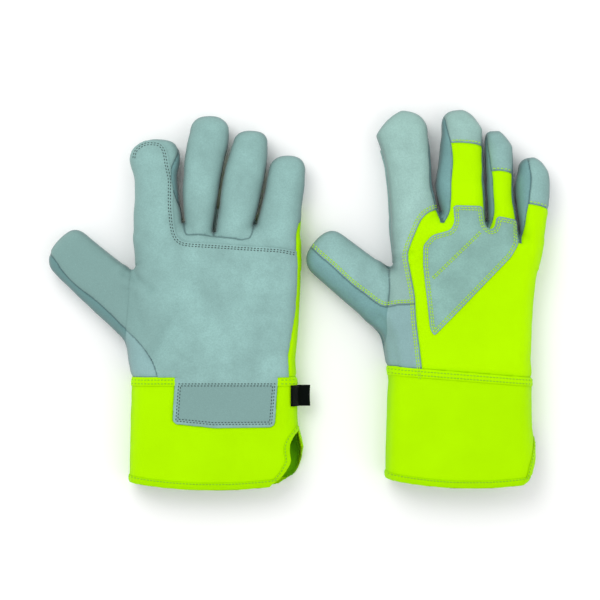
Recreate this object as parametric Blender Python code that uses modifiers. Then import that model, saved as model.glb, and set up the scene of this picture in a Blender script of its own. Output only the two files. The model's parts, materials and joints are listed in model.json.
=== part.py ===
"""A pair of leather work gloves with fabric backs and safety cuffs, lying flat side by side.

The left-hand glove lies palm up, the right-hand glove palm down, and both thumbs point to -X.
Lengths are in millimetres in the glove's own plane: x across, y towards the fingertips, origin at
the middle of the wrist seam. Each glove is a loft of ribs, and each sewn piece is a thin shell that
covers part of the way round some of them. Turn 0 is the thumb-side edge of a rib, turn 90 the palm,
turn 180 the far edge and turn 270 the back of the hand.
"""

import math
from collections import namedtuple

import bpy
from mathutils import Matrix, Vector

MM = 0.001
LEATHER = 1.2            # thickness of split leather
FABRIC = 1.0             # thickness of the fabric back and the cuff
LINING = 0.8
SEAM_TURN = 2.0          # half the gap between two sewn pieces, in degrees round the rib
SEAM = 0.7               # half the gap between two pieces along the glove
ROUNDNESS = 0.77         # exponent of a rib's rounded outline: 1 is an ellipse, less is boxier
PRESSED = 1.05           # how much of a rib's top and bottom is pressed flat
SPLIT = 0.45             # half the gap between the palm and back shells of a fingertip
OVERLAY_GAP = 0.6        # clearance under a patch sewn on top of another piece
STRIP_SEAM_TURN = 3.5    # the same beside the narrow side strips of the fingers
LINING_INSET = 2.6       # the lining's distance inside the outer skin
CUFF_STEP = 1.0          # how much lower the cuff's palm side lies than the palm
SURFACE_EDGE = 0.98      # share of a rib's half width beyond which its surface counts as level
THUMB_OPENING = 27.0     # where the hand's shells stop beside the thumb's root, degrees from the edge
OPENING_END = 14.0       # the same at the two ends of that opening
EDGE_TURN = 3.0          # where a shell ends beside a rib's edge
MIDDLE_HEIGHT = 14.8     # height of the plane that each glove is laid out on
HINGE_SIZE = 0.008       # drawn size of the empties that mark the hinges

# Number of flat steps that each shell is made of, round the glove or across a patch.
PANEL_STEPS = 8
SIDE_STEPS = 3
PATCH_STEPS_ACROSS = 5
WRIST_PATCH_STEPS_UP = 3
CUFF_STEPS = 10
BINDING_STEPS = 24
LINING_STEPS = 20
FRONT_STEPS = 6
BACK_STEPS = 5
STRIP_STEPS = 2

LEATHER_LOOK = ((0.31, 0.50, 0.48), 0.9)
FABRIC_LOOK = ((0.48, 1.0, 0.01), 0.7)
CUFF_LOOK = ((0.43, 0.93, 0.01), 0.6)
TRIM_LOOK = ((0.40, 0.88, 0.01), 0.6)
LINING_LOOK = ((0.06, 0.30, 0.03), 0.9)
TAG_LOOK = ((0.02, 0.02, 0.02), 0.7)

Rib = namedtuple("Rib", "a b palm back")
Finger = namedtuple("Finger", "name root bow tip_shift tip half_widths cap_from")
Thumb = namedtuple("Thumb", "lean length half_widths")
Glove = namedtuple(
    "Glove", "side palm_up x y hand cuff fingers thumb crotch web palm back finger_palm finger_back")

FINGER_STEPS = (0.0, 0.3, 0.55, 0.75, 0.87, 0.95, 1.0)
THUMB_STEPS = (0.0, 0.2, 0.4, 0.6, 0.78, 0.9, 0.97, 1.0)
FINGER_ROUND = 0.85      # length of a fingertip's rounded end, as a share of its half width
THUMB_ROUND = 0.95       # and of the thumb's
TIP_POWER = 2.6          # exponent of a tip's outline seen from above: 2 is a half circle, more is blunter
DEPTH_POWER = 2.2        # and of its outline seen from the side
ROOT_SLANT = 0.5         # share of a finger over which its ribs turn from the slant of the root line
THUMB_TURN = 0.45        # share of the thumb over which its ribs turn square with it
CLOSED_WIDTH = 0.42      # a fingertip's last rib, as a share of the finger's width
CLOSED_DEPTH = 0.08      # and of its depth
SIDE_TURN = 36.0         # half the height of a finger's side strip, degrees from the edge
LEVEL_END = 0.6          # share of the finger's length up to which its side seams run level
SIDE_END = 0.87          # and where the side strips end
TAPERED_TURN = 12.0      # half the height of a side strip at that end
CAP_SEAM = 0.12          # how far the fingertip's cap starts beyond the fabric, as a share of one step

# Outline of the hand from the wrist to the finger roots: (thumb edge x, y, far edge x, y).
LEFT_HAND = (
    (-61.0, 0.7, 60.5, 0.7), (-63.0, 11.0, 60.2, 11.0), (-64.4, 22.2, 61.2, 22.2), (-67.4, 40.0, 62.6, 40.0),
    (-66.4, 60.0, 63.6, 60.0), (-61.4, 77.7, 64.2, 77.7), (-59.5, 90.0, 64.0, 90.0),
    (-58.8, 103.0, 63.6, 103.0),
)
RIGHT_HAND = (
    (-52.5, 4.4, 53.0, -3.0), (-55.0, 11.0, 52.4, 8.0), (-55.9, 17.8, 52.9, 20.0), (-58.5, 38.0, 53.6, 40.0),
    (-57.0, 58.0, 55.0, 60.0), (-51.8, 78.4, 58.0, 78.0), (-51.8, 98.0, 61.3, 91.0),
    (-51.6, 119.0, 63.2, 103.0),
)
# Outline of the cuff from its mouth to the wrist.
LEFT_CUFF = (
    (-62.9, -80.5, 64.0, -79.5), (-62.8, -74.0, 66.0, -73.0), (-62.5, -58.0, 66.2, -58.0),
    (-61.9, -36.0, 62.2, -36.0), (-61.3, -16.0, 61.6, -16.0), (-60.9, -0.7, 61.4, -0.7),
)
RIGHT_CUFF = (
    (-55.1, -79.5, 53.6, -78.0), (-55.0, -72.0, 55.0, -71.0), (-54.8, -55.0, 55.3, -56.0),
    (-54.2, -34.0, 53.4, -38.0), (-53.6, -14.0, 53.2, -20.0), (-53.0, 3.0, 53.6, -4.4),
)
MOUTH_BOW = 4.5          # how far the cuff's mouth bows down in the middle
BOWED_RIBS = 2           # the bow fades out over this many ribs from the mouth
# How far the two halves of the cuff stop short of the far edge: the vent opens towards the mouth.
VENT_TURNS = (17.0, 11.0, 8.0, EDGE_TURN, EDGE_TURN, EDGE_TURN)

LEFT_FINGERS = (
    Finger("index", -40.9, -1.6, -3.3, 174.6, (17.4, 15.0, 16.0), None),
    Finger("middle", -11.1, 3.4, 7.4, 191.7, (10.8, 13.7, 14.9), 0.75),
    Finger("ring", 15.1, 7.8, 10.4, 180.8, (13.9, 14.2, 14.0), 0.75),
    Finger("little", 46.9, 4.8, 7.2, 162.8, (16.2, 14.6, 13.0), 0.55),
)
RIGHT_FINGERS = (
    Finger("index", -33.0, -6.2, -6.9, 194.1, (17.7, 17.0, 17.3), None),
    Finger("middle", 3.9, -2.6, -5.0, 194.6, (16.6, 17.0, 16.4), 0.75),
    Finger("ring", 32.3, -2.4, -4.1, 179.0, (9.4, 9.6, 10.2), 0.55),
    Finger("little", 53.9, 0.4, -0.2, 159.3, (8.9, 11.4, 10.8), 0.55),
)
THUMB_LEFT = Thumb(47.5, 72.0, (27.2, 21.3, 19.2))
THUMB_RIGHT = Thumb(49.5, 72.5, (29.6, 22.4, 19.5))

LEFT = Glove("left", True, -62.7, -55.9, LEFT_HAND, LEFT_CUFF, LEFT_FINGERS, THUMB_LEFT,
             (-61.4, 77.7), (-64.4, 22.2), 15.0, 13.0, 12.0, 12.4)
RIGHT = Glove("right", False, 119.1, -54.2, RIGHT_HAND, RIGHT_CUFF, RIGHT_FINGERS, THUMB_RIGHT,
              (-51.8, 78.4), (-55.9, 17.8), 13.0, 18.0, 14.0, 13.0)

SIDE_SEAM = 306.0        # turn at which the fabric back meets the leather on its thumb side
WRAP = 168.0             # turn at which the fabric back, wrapped round the far edge, meets the palm
TAG_SIZE = (11.0, 15.5, 1.4)
TAG_DROP = 15.0          # the tag's middle below the wrist seam
TAG_RIB = 4              # the cuff's rib beside it
BINDING_HEIGHT = 5.5
BINDING_GAP = 0.5
PATCH_BOTTOM = 28.5      # the knuckle patch's lower point
PATCH_STEPS = (0.0, 0.16, 0.34, 0.52, 0.7, 0.86, 1.0)
# Half outline of the knuckle patch up its height: (share of its height, left edge, right edge).
PATCH_EDGES = (
    (0.0, -22.5, -16.5), (0.35, -22.5, 7.0), (0.66, -28.0, 31.0), (0.88, -28.0, 41.0), (1.0, -14.0, 41.0),
)
OVERLAY_STEPS = (0.0, 0.14, 0.28, 0.42, 0.58, 0.74, 0.88, 1.0)
# The palm overlay: (share of its height, thumb-side edge, far edge), as shares of the hand's half width.
OVERLAY_EDGES = ((0.0, -0.60, 0.83), (0.14, -0.72, 0.83), (0.28, -0.84, 0.84), (1.0, -0.81, 0.84))
OVERLAY_BOTTOM = 3.0
OVERLAY_MARGIN = 8.5     # the overlay's top edge below the finger roots
WRIST_PATCH = (75.0, 31.0, 8.5, -23.5)   # width, height, middle x and middle y


def clear_scene():
    for item in list(bpy.data.objects):
        bpy.data.objects.remove(item, do_unlink=True)


def collection(name):
    found = bpy.data.collections.new(name)
    bpy.context.scene.collection.children.link(found)
    return found


def material(name, look):
    colour, roughness = look
    made = bpy.data.materials.new(name)
    made.use_nodes = True
    shader = made.node_tree.nodes["Principled BSDF"]
    shader.inputs["Base Color"].default_value = (*colour, 1.0)
    shader.inputs["Roughness"].default_value = roughness
    shader.inputs["Metallic"].default_value = 0.0
    return made


def mix(a, b, share):
    return a + (b - a) * share


def stepped(knots, share):
    """Value at `share` along knots of (share, value, ...), joined by straight lines."""
    for low, high in zip(knots, knots[1:]):
        if share <= high[0]:
            part = (share - low[0]) / (high[0] - low[0])
            return [mix(p, q, part) for p, q in zip(low[1:], high[1:])]
    return list(knots[-1][1:])


def smooth_three(values, share):
    """Curve through three values at 0, 0.5 and 1."""
    start, middle, end = values
    slope = 4 * middle - end - 3 * start
    bend = 2 * end + 2 * start - 4 * middle
    return start + slope * share + bend * share * share


def closing(share, start, power, least):
    """1 along a finger's body, falling to `least` at its tip."""
    if share <= start:
        return 1.0
    part = (share - start) / (1.0 - start)
    return max(least, (1.0 - part ** power) ** (1.0 / power))


def mixed(low, high, share):
    """A rib part of the way between two ribs."""
    return Rib(low.a.lerp(high.a, share), low.b.lerp(high.b, share),
               mix(low.palm, high.palm, share), mix(low.back, high.back, share))


def hand_ribs(glove):
    return [Rib(Vector(r[:2]), Vector(r[2:]), glove.palm, glove.back) for r in glove.hand]


def cuff_ribs(glove):
    return [Rib(Vector(r[:2]), Vector(r[2:]), glove.palm - CUFF_STEP, glove.back) for r in glove.cuff]


def root_height(glove, x):
    """y of the line of finger roots at x."""
    ax, ay, bx, by = glove.hand[-1]
    return mix(ay, by, (x - ax) / (bx - ax))


def finger_ribs(glove, finger):
    ax, ay, bx, by = glove.hand[-1]
    slope = (by - ay) / (bx - ax)
    root = root_height(glove, finger.root)
    length = finger.tip - root
    start = 1.0 - FINGER_ROUND * finger.half_widths[2] / length
    ribs = []
    for share in FINGER_STEPS:
        centre_x = finger.root + smooth_three((0.0, finger.bow, finger.tip_shift), share)
        lift = SEAM * (1.0 - share)
        centre = Vector((centre_x, mix(root, finger.tip, share) + lift))
        half = smooth_three(finger.half_widths, share) * closing(share, start, TIP_POWER, CLOSED_WIDTH)
        tilt = slope * max(0.0, 1.0 - share / ROOT_SLANT)
        across = Vector((half, half * tilt))
        depth = closing(share, start, DEPTH_POWER, CLOSED_DEPTH)
        palm, back = glove.finger_palm * depth, glove.finger_back * depth
        ribs.append(Rib(centre - across, centre + across, palm, back))
    return ribs


def thumb_ribs(glove):
    """Ribs from the thumb's root line to its tip. They turn from along the root to square with the thumb."""
    crotch, web = Vector(glove.crotch), Vector(glove.web)
    lean = math.radians(glove.thumb.lean)
    pointing = Vector((-math.sin(lean), math.cos(lean)))
    root_turn = math.atan2(web.y - crotch.y, web.x - crotch.x)
    square_turn = math.atan2(-math.sin(lean), -math.cos(lean))
    start = 1.0 - THUMB_ROUND * glove.thumb.half_widths[2] / glove.thumb.length
    ribs = []
    for share in THUMB_STEPS:
        centre = (crotch + web) / 2 + pointing * (glove.thumb.length * share)
        centre.x -= SEAM * (1.0 - share)
        half = smooth_three(glove.thumb.half_widths, share) * closing(share, start, TIP_POWER, CLOSED_WIDTH)
        turn = mix(root_turn, square_turn, min(1.0, share / THUMB_TURN))
        across = Vector((math.cos(turn), math.sin(turn))) * half
        depth = closing(share, start, DEPTH_POWER, CLOSED_DEPTH)
        palm, back = glove.finger_palm * depth, glove.finger_back * depth
        ribs.append(Rib(centre + across, centre - across, palm, back))
    return ribs


def rounded(value):
    """A rib's rounded outline from a sine or cosine."""
    return math.copysign(abs(value) ** ROUNDNESS, value)


def flattened(value):
    """The same, pressed flat in the middle as the glove lies."""
    return max(-1.0, min(1.0, rounded(value) * PRESSED))


def place(glove, x, y, height):
    """World position of a point `height` above the glove's middle plane, towards the palm."""
    up = height if glove.palm_up else -height
    return Vector((glove.x + x, glove.y + y, MIDDLE_HEIGHT + up)) * MM


def rib_point(glove, rib, turn, out=0.0, split=0.0):
    angle = math.radians(turn)
    middle = (rib.a + rib.b) / 2
    edge = (rib.a - rib.b) / 2
    edge = edge.normalized() * (edge.length + out)
    spot = middle + edge * rounded(math.cos(angle))
    depth = rib.palm if math.sin(angle) > 0 else rib.back
    height = flattened(math.sin(angle)) * (depth + out) + math.copysign(split, math.sin(angle))
    return place(glove, spot.x, spot.y, height)


def rib_y(rib, x):
    """y of a rib's line at x."""
    return mix(rib.a.y, rib.b.y, (x - rib.a.x) / (rib.b.x - rib.a.x))


def surface_height(glove, x, y, palm_side):
    """Height of the glove's surface above or below its middle plane at x, y, between two ribs."""
    ribs = cuff_ribs(glove) if y < rib_y(hand_ribs(glove)[0], x) else hand_ribs(glove)
    for low, high in zip(ribs, ribs[1:]):
        bottom, top = rib_y(low, x), rib_y(high, x)
        if y <= top:
            break
    rib = mixed(low, high, min(1.0, max(0.0, (y - bottom) / (top - bottom))))
    middle, half = (rib.a.x + rib.b.x) / 2, (rib.b.x - rib.a.x) / 2
    share = min(SURFACE_EDGE, abs(x - middle) / half)
    depth = rib.palm if palm_side else -rib.back
    return depth * min(1.0, PRESSED * (1.0 - share ** (2.0 / ROUNDNESS)) ** (ROUNDNESS / 2.0))


def shell(name, rows, thickness, look, group, parent=None, closed=False, flip=False):
    """A thin piece: an open grid of points with its thickness on the inner side."""
    count = len(rows[0])
    faces = []
    for i in range(len(rows) - 1):
        for j in range(count if closed else count - 1):
            k = (j + 1) % count
            quad = [i * count + j, i * count + k, (i + 1) * count + k, (i + 1) * count + j]
            faces.append(quad[::-1] if flip else quad)
    mesh = bpy.data.meshes.new(name)
    mesh.from_pydata([point for row in rows for point in row], [], faces)
    mesh.materials.append(look)
    mesh.shade_smooth()
    piece = bpy.data.objects.new(name, mesh)
    group.objects.link(piece)
    solid = piece.modifiers.new("thickness", "SOLIDIFY")
    solid.thickness = thickness * MM
    solid.offset = -1.0
    if parent is not None:
        piece.parent = parent
        piece.matrix_parent_inverse = parent.matrix_world.inverted()
    return piece


def rib_shell(glove, name, ribs, limits, steps, thickness, look, group, parent=None, out=0.0, split=0.0):
    """A shell between two turns of each rib. limits holds one (from, to) pair for each rib."""
    rows = []
    for rib, (low, high) in zip(ribs, limits):
        turns = [mix(low, high, j / steps) for j in range(steps + 1)]
        rows.append([rib_point(glove, rib, turn, out, split) for turn in turns])
    full_name = glove.side + "_" + name
    return shell(full_name, rows, thickness, look, group, parent, flip=not glove.palm_up)


def spot_shell(glove, name, rows, palm_side, thickness, look, group):
    """A patch laid over the hand's surface. rows holds (x, y) spots from low to high, left to right."""
    reach = OVERLAY_GAP + thickness
    placed = []
    for row in rows:
        line = []
        for x, y in row:
            height = surface_height(glove, x, y, palm_side)
            line.append(place(glove, x, y, height + math.copysign(reach, height)))
        placed.append(line)
    full_name = glove.side + "_" + name
    return shell(full_name, placed, thickness, look, group, flip=palm_side != glove.palm_up)


def hinge(glove, name, start, end, depth):
    """An empty whose X axis is the hinge from start to end, on the palm-side skin of a digit's root."""
    a = place(glove, start[0], start[1], depth)
    b = place(glove, end[0], end[1], depth)
    along = (b - a).normalized()
    if not glove.palm_up:
        along = -along
    up = Vector((0.0, 0.0, 1.0))
    marker = bpy.data.objects.new(glove.side + "_" + name + "_hinge", None)
    marker.empty_display_size = HINGE_SIZE
    turn = Matrix((along, up.cross(along), up)).transposed().to_4x4()
    marker.matrix_world = Matrix.Translation((a + b) / 2) @ turn
    bpy.context.scene.collection.objects.link(marker)
    bpy.context.view_layer.update()
    return marker


def palm_limits(glove):
    """The palm panel goes round from the thumb edge to the fabric. It stops short beside the thumb."""
    count = len(glove.hand)
    low = [EDGE_TURN] * 2 + [OPENING_END] + [THUMB_OPENING] * (count - 5) + [OPENING_END, EDGE_TURN]
    return [(turn, WRAP - SEAM_TURN) for turn in low]


def side_limits(glove):
    return [(SIDE_SEAM + SEAM_TURN, 360.0 - low) for low, _ in palm_limits(glove)]


def trimmed(ribs):
    """The hand's ribs with the last one drawn back from the finger roots."""
    last = ribs[-1]
    back = Vector((0.0, SEAM))
    return ribs[:-1] + [Rib(last.a - back, last.b - back, last.palm, last.back)]


def make_hand(glove, group, looks):
    ribs = trimmed(hand_ribs(glove))
    count = len(ribs)
    rib_shell(glove, "palm_panel", ribs, palm_limits(glove), PANEL_STEPS, LEATHER, looks["leather"], group)
    back = [(WRAP + SEAM_TURN, SIDE_SEAM - SEAM_TURN)] * count
    rib_shell(glove, "hand_back", ribs, back, PANEL_STEPS, FABRIC, looks["fabric"], group)
    rib_shell(glove, "side_leather", ribs, side_limits(glove), SIDE_STEPS, LEATHER, looks["leather"], group)


def make_palm_overlay(glove, group, looks):
    top = [root_height(glove, x) - OVERLAY_MARGIN for x in (-50.0, 50.0)]
    middle = (glove.hand[2][0] + glove.hand[2][2]) / 2
    half = (glove.hand[2][2] - glove.hand[2][0]) / 2
    rows = []
    for share in OVERLAY_STEPS:
        left, right = [edge * half for edge in stepped(OVERLAY_EDGES, share)]
        row = []
        for j in range(PANEL_STEPS + 1):
            across = j / PANEL_STEPS
            row.append((middle + mix(left, right, across), mix(OVERLAY_BOTTOM, mix(*top, across), share)))
        rows.append(row)
    spot_shell(glove, "palm_overlay", rows, True, LEATHER, looks["leather"], group)


def make_knuckle_patch(glove, group, looks):
    scale = (glove.hand[2][2] - glove.hand[2][0]) / (RIGHT_HAND[2][2] - RIGHT_HAND[2][0])
    shift = (glove.hand[2][0] + glove.hand[2][2]) / 2 - scale * (RIGHT_HAND[2][0] + RIGHT_HAND[2][2]) / 2
    rows = []
    for share in PATCH_STEPS:
        left, right = stepped(PATCH_EDGES, share)
        row = []
        for j in range(PATCH_STEPS_ACROSS + 1):
            x = mix(left, right, j / PATCH_STEPS_ACROSS) * scale + shift
            row.append((x, mix(PATCH_BOTTOM, root_height(glove, x) - 2 * SEAM, share)))
        rows.append(row)
    spot_shell(glove, "knuckle_patch", rows, False, LEATHER, looks["leather"], group)


def make_wrist_patch(glove, group, looks):
    width, height, x, y = WRIST_PATCH
    rows = []
    for i in range(WRIST_PATCH_STEPS_UP + 1):
        row_y = y + height * (i / WRIST_PATCH_STEPS_UP - 0.5)
        row = []
        for j in range(PATCH_STEPS_ACROSS + 1):
            row.append((x + width * (j / PATCH_STEPS_ACROSS - 0.5), row_y))
        rows.append(row)
    spot_shell(glove, "wrist_patch", rows, True, LEATHER, looks["leather"], group)


def bowed_row(glove, rib, bow, low, high, steps, out=0.0):
    """Points round a rib of the cuff between two turns, with its middle drawn towards the mouth by bow."""
    row = []
    for j in range(steps + 1):
        turn = mix(low, high, j / steps)
        point = rib_point(glove, rib, turn, out)
        point.y -= bow * abs(math.sin(math.radians(turn))) * MM
        row.append(point)
    return row


def make_cuff(glove, group, looks):
    ribs = cuff_ribs(glove)
    front = [(EDGE_TURN, 180.0 - vent) for vent in VENT_TURNS]
    back = [(180.0 + vent, 360.0 - EDGE_TURN) for vent in VENT_TURNS]
    bows = [MOUTH_BOW * max(0.0, 1.0 - i / BOWED_RIBS) for i in range(len(ribs))]
    for name, limits in (("cuff_front", front), ("cuff_back", back)):
        rows = []
        for rib, bow, turns in zip(ribs, bows, limits):
            rows.append(bowed_row(glove, rib, bow, *turns, CUFF_STEPS))
        shell(glove.side + "_" + name, rows, FABRIC, looks["cuff"], group, flip=not glove.palm_up)


def make_binding(glove, group, looks):
    """The tape sewn over the mouth's edge: a strip round the outside, open at the vent."""
    ribs = cuff_ribs(glove)
    low, above = ribs[0], ribs[1]
    share = BINDING_HEIGHT / (above.a.y - low.a.y)
    high = mixed(low, above, share)
    out = BINDING_GAP + FABRIC
    ends = (180.0 - VENT_TURNS[0], VENT_TURNS[0] - 180.0)
    high_bow = MOUTH_BOW * (1.0 - share / BOWED_RIBS)
    rows = []
    for rib, bow in ((low, MOUTH_BOW), (high, high_bow)):
        rows.append(bowed_row(glove, rib, bow, *ends, BINDING_STEPS, out))
    shell(glove.side + "_cuff_binding", rows, FABRIC, looks["trim"], group, flip=glove.palm_up)


def make_lining(glove, group, looks):
    """One soft tube inside the hand and cuff, open at the mouth and at the finger roots."""
    ribs = cuff_ribs(glove)[1:-1] + hand_ribs(glove)[:-1]
    thumb_root = min(glove.crotch[0], glove.web[0])
    rows = []
    for rib in ribs:
        edge = Vector((max(rib.a.x, thumb_root), rib.a.y))
        slim = Rib(edge, rib.b, glove.palm - CUFF_STEP, glove.back)
        turns = [360.0 * j / LINING_STEPS for j in range(LINING_STEPS)]
        rows.append([rib_point(glove, slim, turn, -LINING_INSET) for turn in turns])
    name = glove.side + "_lining"
    shell(name, rows, LINING, looks["lining"], group, closed=True, flip=not glove.palm_up)


def side_edge(share):
    """Turn of a finger's side seam: level along the finger, then in to the edge at its tip."""
    if share < LEVEL_END:
        return SIDE_TURN
    if share <= SIDE_END:
        return mix(SIDE_TURN, TAPERED_TURN, (share - LEVEL_END) / (SIDE_END - LEVEL_END))
    return EDGE_TURN


def make_finger(glove, finger, group, looks):
    """Front, back with a leather cap, and a side strip wherever another finger stands beside it."""
    ribs = finger_ribs(glove, finger)
    lift = Vector((0.0, SEAM))
    marker = hinge(glove, finger.name, ribs[0].a - lift, ribs[0].b - lift, glove.finger_palm)
    seams = [side_edge(share) for share in FINGER_STEPS]
    plain = [EDGE_TURN - SEAM_TURN] * len(ribs)
    near = plain if finger.name == "index" else seams
    far = plain if finger.name == "little" else seams

    def piece(name, first, last, limits, steps, thickness, look):
        rib_shell(glove, finger.name + "_" + name, ribs[first:last], limits[first:last], steps,
                  thickness, looks[look], group, marker, split=SPLIT)

    front = [(a + SEAM_TURN, 180.0 - b - SEAM_TURN) for a, b in zip(near, far)]
    back = [(180.0 + b + SEAM_TURN, 360.0 - a - SEAM_TURN) for a, b in zip(near, far)]
    strip = [(STRIP_SEAM_TURN - turn, turn - STRIP_SEAM_TURN) for turn in seams]
    strip_end = FINGER_STEPS.index(SIDE_END) + 1
    piece("front", 0, len(ribs), front, FRONT_STEPS, LEATHER, "leather")
    if near is seams:
        piece("thumb_side_strip", 0, strip_end, strip, STRIP_STEPS, LEATHER, "leather")
    if far is seams:
        far_strip = [(180.0 + low, 180.0 + high) for low, high in strip]
        piece("far_side_strip", 0, strip_end, far_strip, STRIP_STEPS, LEATHER, "leather")
    if finger.cap_from is None:
        piece("back", 0, len(ribs), back, FRONT_STEPS, LEATHER, "leather")
        return
    cap = FINGER_STEPS.index(finger.cap_from)
    piece("back", 0, cap + 1, back, BACK_STEPS, FABRIC, "fabric")
    ribs[cap] = mixed(ribs[cap], ribs[cap + 1], CAP_SEAM)
    piece("cap", cap, len(ribs), back, BACK_STEPS, LEATHER, "leather")


def make_thumb(glove, group, looks):
    ribs = thumb_ribs(glove)
    marker = hinge(glove, "thumb", glove.web, glove.crotch, glove.finger_palm)
    front = [(EDGE_TURN, 180.0 - EDGE_TURN)] * len(ribs)
    back = [(180.0 + EDGE_TURN, 360.0 - EDGE_TURN)] * len(ribs)
    for name, limits in (("front", front), ("back", back)):
        rib_shell(glove, "thumb_" + name, ribs, limits, PANEL_STEPS, LEATHER, looks["leather"], group,
                  marker, split=SPLIT)


def make_tag(glove, group, looks):
    """The folded label loop sewn into the cuff's side seam. It carries no print."""
    edge = cuff_ribs(glove)[TAG_RIB].b.x
    place_x = edge + OVERLAY_GAP + TAG_SIZE[0] / 2
    bpy.ops.mesh.primitive_cube_add(size=1.0, location=place(glove, place_x, -TAG_DROP, 0.0))
    tag = bpy.context.object
    tag.name = glove.side + "_tag"
    tag.scale = [side * MM for side in TAG_SIZE]
    bpy.ops.object.transform_apply(location=False, rotation=False, scale=True)
    tag.data.materials.append(looks["tag"])
    for owner in list(tag.users_collection):
        owner.objects.unlink(tag)
    group.objects.link(tag)


def make_glove(glove, group, looks):
    make_hand(glove, group, looks)
    make_palm_overlay(glove, group, looks)
    make_knuckle_patch(glove, group, looks)
    make_wrist_patch(glove, group, looks)
    make_cuff(glove, group, looks)
    make_binding(glove, group, looks)
    make_lining(glove, group, looks)
    for finger in glove.fingers:
        make_finger(glove, finger, group, looks)
    make_thumb(glove, group, looks)


def main():
    clear_scene()
    group = collection("work_gloves")
    looks = {
        "leather": material("split_leather", LEATHER_LOOK),
        "fabric": material("high_visibility_fabric", FABRIC_LOOK),
        "cuff": material("cuff_fabric", CUFF_LOOK),
        "trim": material("binding_tape", TRIM_LOOK),
        "lining": material("lining_fabric", LINING_LOOK),
        "tag": material("tag_tape", TAG_LOOK),
    }
    make_glove(LEFT, group, looks)
    make_glove(RIGHT, group, looks)
    make_tag(LEFT, group, looks)


main()
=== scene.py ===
"""The looks of a pair of leather and fabric work gloves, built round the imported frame.

Each glove is one smooth skin, made as the zero surface of a simple field over the glove's plan. The skin
is cut along its seams into the separate sewn pieces, which get their thickness, patches on top, rows of
stitches and procedural materials. Lengths are in millimetres in the glove's own plane: x across, y towards
the fingertips, z up, origin at the middle of the wrist seam, until a piece is placed in the frame.
"""

import json
import math
from collections import namedtuple
from functools import cached_property

import bpy
import numpy as np
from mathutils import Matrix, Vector
from mathutils.bvhtree import BVHTree
from mathutils.kdtree import KDTree


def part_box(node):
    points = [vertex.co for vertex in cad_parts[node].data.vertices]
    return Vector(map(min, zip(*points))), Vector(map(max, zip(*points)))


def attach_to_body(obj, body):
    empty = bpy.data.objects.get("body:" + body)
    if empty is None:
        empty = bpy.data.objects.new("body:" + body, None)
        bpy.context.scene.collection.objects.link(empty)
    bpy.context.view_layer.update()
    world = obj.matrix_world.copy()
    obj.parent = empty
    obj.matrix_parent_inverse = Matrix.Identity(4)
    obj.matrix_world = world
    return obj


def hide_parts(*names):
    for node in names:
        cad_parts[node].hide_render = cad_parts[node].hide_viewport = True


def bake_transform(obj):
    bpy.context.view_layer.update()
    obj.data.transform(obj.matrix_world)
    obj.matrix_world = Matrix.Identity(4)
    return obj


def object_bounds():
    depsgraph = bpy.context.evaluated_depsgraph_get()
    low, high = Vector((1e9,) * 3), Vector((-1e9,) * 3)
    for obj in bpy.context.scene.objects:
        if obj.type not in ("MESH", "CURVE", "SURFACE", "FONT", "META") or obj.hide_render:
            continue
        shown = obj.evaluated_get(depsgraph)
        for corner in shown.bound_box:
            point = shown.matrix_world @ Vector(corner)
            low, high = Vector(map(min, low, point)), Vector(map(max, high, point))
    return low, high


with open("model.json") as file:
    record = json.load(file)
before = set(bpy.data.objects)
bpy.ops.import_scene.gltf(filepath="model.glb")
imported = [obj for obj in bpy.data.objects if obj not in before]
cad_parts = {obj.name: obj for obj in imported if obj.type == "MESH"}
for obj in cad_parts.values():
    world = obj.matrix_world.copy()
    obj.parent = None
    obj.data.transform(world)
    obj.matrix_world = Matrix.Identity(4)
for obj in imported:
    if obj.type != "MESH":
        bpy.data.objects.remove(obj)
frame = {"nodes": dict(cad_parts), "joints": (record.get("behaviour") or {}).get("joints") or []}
CAD_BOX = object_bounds()

MM = 0.001
GRID = 1.3               # spacing of the grid that the skin is sampled on
LOW = (-131.0, -93.0, -20.0)
HIGH = (80.0, 201.0, 21.0)
MIDDLE_HEIGHT = 14.8     # height of the plane that each glove is laid out on
EDGE_ROUND = 13.0        # how far in from its outline the skin rises to its full height
TOP_POWER = 2.3          # roundness of the skin's upper side: 2 is a circle, more is flatter
UNDER_POWER = 3.0        # and of the side that it lies on
LEATHER = 1.2
FABRIC = 1.0
LINING_GAP = 1.9         # how far the lining lies behind the skin's outside
RISE = 1.05              # height of a patch sewn on top
VENT_TOP = -37.5         # where the slit in the far side of the cuff begins
HEM = 4.6                # width of the hem along that slit,
BAND = 6.6               # of the folded band at the cuff's top
BINDING = 5.6            # and of the tape over its mouth
SEAM_DEPTH = 0.9
SEAM_WIDTH = 1.5
ROW_GAP = 1.5            # between the two rows of a double line of stitches
STITCH_PITCH = 2.4
# Length and thickness of a stitch in each thread, and the thread of each kind of row.
STITCHES = {"dark_thread": (1.35, 0.32), "bright_thread": (1.9, 0.4), "cuff_thread": (1.7, 0.34)}
THREADS = {"overlay": "dark_thread", "wrist_patch": "dark_thread", "knuckle_patch": "bright_thread",
           "border": "bright_thread", "thumb": "bright_thread", "cap": "bright_thread",
           "cuff_band": "cuff_thread", "cuff_hem": "cuff_thread", "vent": "cuff_thread"}
FAR_SIDE = 30.0          # x beyond which the cuff's slit and the wrapped fabric lie
DIGITS = ("index", "middle", "ring", "little", "thumb")

# A finger: (y, left x, right x) up its outline, y of its tip, how bluntly and squarely the tip is rounded,
# its side strips, and y where the leather cap on its back starts.
Digit = namedtuple("Digit", "name edges tip blunt powers near far palm_far cap")
# A glove: the index finger's hinge, (y, left x, right x) up its outline, crotches, y and slope of the line
# where the fingers start, the ends of the thumb's root, the mouth's and the wrist's lines, and how far the
# fabric wraps round to the palm. heights are (palm side, back) for each region; vent is the slit's edge as
# (y, x above, x below); stretch is the hand's width against the right one's.
Glove = namedtuple(
    "Glove", "side palm_up root sides crotches split digits thumb hinge mouth wrist wrap heights "
             "wrist_patch vent stretch")

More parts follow.
